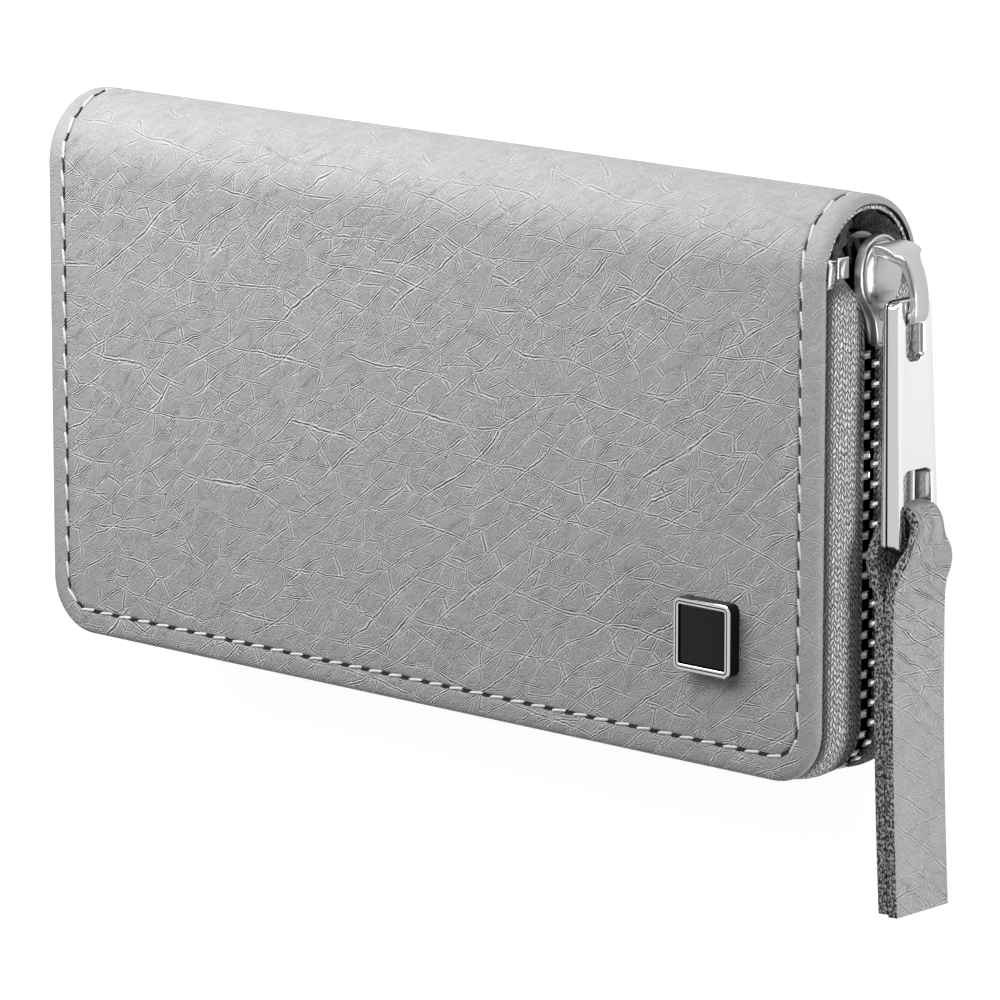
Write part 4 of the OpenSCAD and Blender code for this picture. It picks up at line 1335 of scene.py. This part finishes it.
def makeBadge():
    x, y, h, top = badgeShape["x"], badgeShape["y"], badgeShape["width"] / 2, badgeTop
    obj = addBox("badgeFrame", (x - h, y - h, case["thickness"] - 0.1), (x + h, y + h, top - 0.12))
    startEdit(obj, "EDGE")
    pick(obj, "EDGE", lambda a, b: abs(a.z - b.z) > 0.5)
    bpy.ops.mesh.bevel(offset=badgeShape["corner"], segments=5, profile=0.5)
    pick(obj, "FACE", lambda c, n: n.z > 0.9)
    insetSteps(badgeShape["rings"])
    endEdit()
    inner = h - badgeShape["rim"]
    inlay = addBox("badgeInlay", (x - inner, y - inner, top - 0.62), (x + inner, y + inner, top - 0.34))
    startEdit(inlay, "EDGE")
    pick(inlay, "EDGE", lambda a, b: abs(a.z - b.z) > 0.2)
    bpy.ops.mesh.bevel(offset=badgeShape["inlayCorner"], segments=4, profile=0.5)
    pick(inlay, "FACE", lambda c, n: n.z > 0.9)
    insetSteps(badgeShape["inlayRings"])
    endEdit()
    return obj, inlay


badgeFrame, badgeInlay = makeBadge()
finishPiece(badgeFrame, chrome, "front_cover", ["badge_frame"], angle=28)
badgeFrame.data.materials.append(paintedShadeMetal)
for face in badgeFrame.data.polygons:  # painted shade: the sides and the groove between the two rings take the near-black metal
    below = badgeTop - face.center.z / mm
    if abs(face.normal.z) < 0.3 and below > 0.03 or abs(below - 0.16) < 0.02:
        face.material_index = 1
finishPiece(badgeInlay, enamel, "front_cover", ["badge_inlay"], angle=28)
print("badge is made")


# linings inside the covers
insideShape = {
    "liningLow": 1.72, "liningInset": 1.42, "liningTop": 26.0, "liningThickness": 0.36, "liningStep": 1.4,
    "padInset": 4.4, "padTop": 23.0, "padLow": 2.22, "floor": 3.4, "seam": 1.75, "seamHeight": 2.96,
    "pucker": 0.09, "puckerWidth": 0.75, "stitchPitch": 2.7,
    "liningRings": ((0.03, 0.05), (0.06, 0.04), (0.12, 0.02), (0.9, 0), (0.08, -0.07), (0.1, 0), (0.08, 0.07),
                    (0.5, 0)),
    # distance from the edge, height: a rolled border, a sewn channel, then the full pad
    "padProfile": [(0, 2.55), (0.12, 2.86), (0.3, 3.02), (0.6, 3.12), (1.0, 3.1), (1.35, 2.98), (1.6, 2.82),
                   (1.75, 2.78), (1.9, 2.82), (2.2, 3.0), (2.6, 3.17), (3.4, 3.31), (4.4, 3.37), (5.6, 3.39)]}


def ringOutline(inset, top, step):  # evenly spaced points round a cover's rounded foot, square at the top
    count = round(edgeLength(inset, top) / step)
    points = [alongEdge(edgeLength(inset, top) * k / count, inset, top)[:2] for k in range(count + 1)]
    half = halfLength - inset
    across = round(2 * half / step)
    return points + [(half - 2 * half * k / across, top) for k in range(1, across)]


def makeLining(name):
    outline = ringOutline(insideShape["liningInset"], insideShape["liningTop"], insideShape["liningStep"])
    line = [(x, y, insideShape["liningLow"]) for x, y in outline]
    obj = slab(name, line, (0, 0, insideShape["liningThickness"]))
    startEdit(obj)
    pick(obj, "FACE", lambda c, n: n.z > 0.9)
    insetSteps(insideShape["liningRings"])
    endEdit()
    return obj


def makeHolder(name):
    profile = insideShape["padProfile"]
    fine, deep = [d for d, z in profile], profile[-1][0]
    half, low, high = halfLength - insideShape["padInset"], footY + insideShape["padInset"], insideShape["padTop"]

    def spread(start, end):  # close rows near both edges, even ones between
        count = round((end - start - 2 * deep) / 1.9)
        between = [start + deep + (end - start - 2 * deep) * k / count for k in range(1, count)]
        return [start + d for d in fine] + between + [end - d for d in reversed(fine)]

    xs, ys = spread(-half, half), spread(low, high)
    bpy.ops.object.select_all(action="DESELECT")
    bpy.ops.mesh.primitive_grid_add(x_subdivisions=len(xs) - 1, y_subdivisions=len(ys) - 1, size=2)
    obj = bpy.context.object
    obj.name = name
    obj.data.name = name
    obj.location = (0, 0, insideShape["padLow"])
    bpy.ops.object.transform_apply(location=True)
    bpy.ops.object.mode_set(mode="EDIT")
    bpy.ops.mesh.select_all(action="SELECT")
    extrudeBy((0, 0, 1))
    faceOutwards()
    endEdit()
    cornerRound = case["corner"] - insideShape["padInset"]
    for v in obj.data.vertices:
        onTop = v.co.z > insideShape["padLow"] + 0.5
        x = xs[round((v.co.x + 1) / 2 * (len(xs) - 1))]
        y = ys[round((v.co.y + 1) / 2 * (len(ys) - 1))]
        inX, inY = min(x + half, half - x), min(y - low, high - y)
        d = min(inX, inY)
        if y < 0 and inX < cornerRound and inY < cornerRound:  # the two foot corners are round
            p = Vector((cornerRound - inX, cornerRound - inY))
            p *= max(p) / p.length if p.length else 1
            x = math.copysign(half - cornerRound + p.x, x)
            y = low + cornerRound - p.y
        if onTop:
            pull = math.exp(-((d - insideShape["seam"]) / insideShape["puckerWidth"]) ** 2)
            slack = 0.5 + 0.5 * math.sin((x + y) * 2 * math.pi / insideShape["stitchPitch"])
            z = readLine(profile, d) + insideShape["pucker"] * pull * slack
        else:
            z = insideShape["padLow"]
        v.co = (x, y, z)
    return obj


def ownStitches(name, places, size):  # places: x, y, z, heading
    one = makeStitch()
    parts = [copyTo(one, moved(x, y, z) @ turned("Z", a) @ Matrix.Diagonal((*size, 1))) for x, y, z, a in places]
    bpy.data.objects.remove(one)
    obj = joinAll(name, parts)
    startEdit(obj)
    faceOutwards()
    endEdit()
    return obj


def seamPlaces():  # one stitch after another in the padding's channel
    inset, top = insideShape["padInset"] + insideShape["seam"], insideShape["padTop"] - insideShape["seam"]
    count = round(edgeLength(inset, top) / insideShape["stitchPitch"])
    places = []
    for k in range(count):
        x, y, heading = alongEdge((k + 0.5) * edgeLength(inset, top) / count, inset, top)
        places.append((x, y, insideShape["seamHeight"], heading + 5))
    half = halfLength - inset
    across = round(2 * half / insideShape["stitchPitch"])
    for k in range(across):
        places.append((half - 2 * half * (k + 0.5) / across, top, insideShape["seamHeight"], 185))
    return places


backLining, backHolder = makeLining("backLiningSheet"), makeHolder("backHolderPad")
backSeam = ownStitches("backHolderStitches", seamPlaces(), (0.85, 0.75, 0.75))
for source, title, look, node, slotName in ((backLining, "LiningSheet", lining, "_lining", "lining"),
                                            (backHolder, "HolderPad", padLeather, "_holder", "holder"),
                                            (backSeam, "HolderStitches", darkThread, None, None)):
    twin = toBack(source, "front" + title)
    for obj, body in ((source, "back"), (twin, "front")):
        finishPiece(obj, look, body + "_cover", [body + node] if node else (), angle=50)
print("linings and holders are made")


# elastic bands over the tools, given for the back cover's side
bandShape = {"width": 9.0, "thickness": 0.6, "floor": 3.42, "slack": 0.27, "ribs": 20, "rib": 0.045}
# each band: x, its ends, and the tools under it as y, half width, height
backBands = [(-12, -30.1, 21.9, [(-22.6, 5.8, 5.6), (4.5, 9.4, 2.2)]), (32, -7.5, 21.9, [(4.5, 3.2, 2.2)])]
frontLoops = [(-7.5, 1.8, 2.8), (4.5, 3.7, 2.8), (17, 3.5, 2.8)]
frontBands = [(-22, -14.4, 21.9, frontLoops), (20, -14.4, 21.9, frontLoops)]


def makeBand(name, x, low, high, loops):
    floor, slack = bandShape["floor"], bandShape["slack"]
    line = [(low, floor)]
    for y, half, height in loops:
        w, h = half + slack, insideShape["floor"] + height + slack
        side = [(-w - 0.95, floor), (-w - 0.6, floor + 0.25), (-w - 0.12, h - 0.62), (-w + 0.08, h - 0.22),
                (-w + 0.5, h)]
        top = [(0, h + 0.04)]
        line += [(y + a, b) for a, b in side + top] + [(y - a, b) for a, b in reversed(side)]
    line.append((high, floor))
    full = []
    for (a, za), (b, zb) in zip(line, line[1:]):  # short steps on the long runs
        count = max(1, round(math.hypot(b - a, zb - za) / 1.2))
        full += [(a + (b - a) * k / count, za + (zb - za) * k / count) for k in range(count)]
    full.append(line[-1])
    start = x - bandShape["width"] / 2
    obj = drawLine(name, [(start, y, z) for y, z in full])
    startEdit(obj, "EDGE")
    bpy.ops.mesh.select_all(action="SELECT")
    for k in range(bandShape["ribs"]):
        extrudeBy((bandShape["width"] / bandShape["ribs"], 0, 0))
    mergeDoubles()
    faceOutwards()
    endEdit()
    if sum(f.normal.z for f in obj.data.polygons) < 0:
        turnFaces(obj)
    total, reached = 0.0, [(full[0], 0.0)]
    for a, b in zip(full, full[1:]):
        total += math.dist(a, b)
        reached.append((b, total))
    layer = obj.data.uv_layers.new(name="weaveMap")
    for loop in obj.data.loops:
        co = obj.data.vertices[loop.vertex_index].co
        run = min(reached, key=lambda item: math.dist(item[0], (co.y, co.z)))[1]
        layer.data[loop.index].uv = (run * mm, (co.x - x) * mm)
    useModifier(obj, "SOLIDIFY", thickness=bandShape["thickness"], offset=1, use_even_offset=True)
    for v in obj.data.vertices:  # the ribs stand up a little between their grooves
        k = round((v.co.x - start) / bandShape["width"] * bandShape["ribs"])
        if k % 2 == 0 and 0 < k < bandShape["ribs"] and abs(v.normal.x) < 0.3:
            v.co -= v.normal * bandShape["rib"]
    return obj


def bandStitches(x, low, high, loops):  # a row across the band on each side of each tool
    rows = []
    for y, half, height in loops:
        rows += [y + way * (half + bandShape["slack"] + 1.75) for way in (-1, 1)]
    rows += [low + 0.9, high - 0.9]
    kept = []
    for row in sorted(rows):
        clear = all(abs(row - y) > half + bandShape["slack"] + 1.6 for y, half, height in loops)
        if low + 0.5 < row < high - 0.5 and clear and all(abs(row - other) > 0.9 for other in kept):
            kept.append(row)
    z = bandShape["floor"] + bandShape["thickness"] + 0.02
    return [(x + 2.15 * k, row, z, 4) for row in kept for k in (-1.5, -0.5, 0.5, 1.5)]


def turnOver(obj):  # moves a piece onto the other cover under its own name
    name = obj.name
    twin = toBack(obj, name + "Turned")
    bpy.data.objects.remove(obj)
    twin.name = name
    twin.data.name = name
    return twin


for body, bands in (("back", backBands), ("front", frontBands)):
    strips = joinAll(body + "Elastic", [makeBand("band", *one) for one in bands])
    places = [place for one in bands for place in bandStitches(*one)]
    rows = ownStitches(body + "ElasticStitches", places, (0.8, 0.7, 0.7))
    if body == "front":
        strips, rows = turnOver(strips), turnOver(rows)
    finishPiece(strips, elastic, body + "_cover", [body + "_bands"], angle=40)
    finishPiece(rows, darkThread, body + "_cover", angle=50)
print("elastic bands are made")


# tools, boards and stops keep their CAD shapes, with eased edges and real finishes
toolFinish = {"scissors_under": (toolSteel, 0.12), "scissors_over": (toolSteel, 0.12), "scissors_screw": (chrome, 0.12),
              "clipper_jaws": (chrome, 0.18), "clipper_lever": (chrome, 0.15), "clipper_pin": (chrome, 0.1),
              "file_blade": (fileSteel, 0.1), "file_handle": (gripPlastic, 0.35), "tweezers": (toolSteel, 0.1),
              "pusher": (toolSteel, 0.15), "front_stop": (chrome, 0.2), "back_stop": (chrome, 0.2),
              "front_board": (boardCard, 0.05), "back_board": (boardCard, 0.05)}
for node, (look, ease) in toolFinish.items():
    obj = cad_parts[node]
    obj.data.materials.clear()
    obj.data.materials.append(look)
    obj.data.polygons.foreach_set("use_smooth", [True] * len(obj.data.polygons))
    weld = obj.modifiers.new("weld", "WELD")
    weld.merge_threshold = 0.000002
    bevel = obj.modifiers.new("easedEdges", "BEVEL")
    bevel.width = ease * mm
    bevel.segments = 2
    bevel.limit_method = "ANGLE"
    bevel.angle_limit = math.radians(32)
    bevel.harden_normals = True
print("tools are finished")


# floor, world and lights
light = {"world": 0.13, "worldSeen": 0.78, "floorSeen": 0.92, "floorGlow": 0.08, "floorTone": 0.3,
         # the dark strip draws the lines in the chrome
         "sky": ((0.1, 0.3), (0.16, 0.03), (0.28, 0.03), (0.34, 0.75))}
lamps = {  # place, target, size, power
    "keyBox": ((-0.08, 0.17, 0.16), (0, 0, 0.018), (0.34, 0.16), 1.12),
    "rimBox": ((0.3, 0.42, 0.08), (0.04, 0.03, 0.01), (0.3, 0.1), 0.62),
    "sideBox": ((0.62, -0.12, 0.075), (0, 0, 0.01), (0.35, 0.14), 2.7)}


def makeStage():
    bpy.ops.object.select_all(action="DESELECT")
    bpy.ops.mesh.primitive_plane_add(size=6, location=(0, 0, -0.0003))
    floor = bpy.context.object
    floor.name = "floor"
    material, tree, shader = newMaterial("paleFloor", Roughness=0.9)
    shader.inputs["Base Color"].default_value = (*grey(light["floorTone"]), 1)
    shader.inputs["Emission Color"].default_value = (1, 1, 1, 1)
    path = tree.nodes.new("ShaderNodeLightPath")  # bright to the eye and in reflections, but little light from below
    seen = addMath(tree, "MAXIMUM", path.outputs["Is Camera Ray"], path.outputs["Is Glossy Ray"])
    glow = addMath(tree, "MULTIPLY_ADD", seen, light["floorSeen"] - light["floorGlow"], light["floorGlow"])
    tree.links.new(glow, shader.inputs["Emission Strength"])
    floor.data.materials.append(material)
    world = bpy.data.worlds.new("studio")
    bpy.context.scene.world = world
    world.use_nodes = True
    nodes, links = world.node_tree.nodes, world.node_tree.links
    shade = nodes["Background"]
    coords = nodes.new("ShaderNodeTexCoord")
    split = nodes.new("ShaderNodeSeparateXYZ")
    ramp = nodes.new("ShaderNodeValToRGB")
    links.new(coords.outputs["Generated"], split.inputs[0])
    links.new(split.outputs["Z"], ramp.inputs["Fac"])
    ramp.color_ramp.elements[0].position = 0.0
    ramp.color_ramp.elements[0].color = (0.32, 0.32, 0.32, 1)
    ramp.color_ramp.elements[1].position = 0.75
    ramp.color_ramp.elements[1].color = (1, 1, 1, 1)
    for place, tone in light["sky"]:
        stop = ramp.color_ramp.elements.new(place)
        stop.color = (tone, tone, tone, 1)
    links.new(ramp.outputs["Color"], shade.inputs["Color"])
    path = nodes.new("ShaderNodeLightPath")  # brighter in reflections than it lights
    more = light["worldSeen"] - light["world"]
    strength = addMath(world.node_tree, "MULTIPLY_ADD", path.outputs["Is Glossy Ray"], more, light["world"])
    links.new(strength, shade.inputs["Strength"])


def addLamp(name, place, target, size, power):
    data = bpy.data.lights.new(name, "AREA")
    data.shape = "RECTANGLE"
    data.size, data.size_y = size
    data.energy = power
    lamp = bpy.data.objects.new(name, data)
    bpy.context.scene.collection.objects.link(lamp)
    way = Vector(target) - Vector(place)
    lamp.matrix_world = Matrix.Translation(place) @ way.to_track_quat("-Z", "Y").to_matrix().to_4x4()
    return lamp


makeStage()
for name, values in lamps.items():
    addLamp(name, *values)
bpy.context.scene.view_settings.view_transform = "Standard"
print("stage is lit")
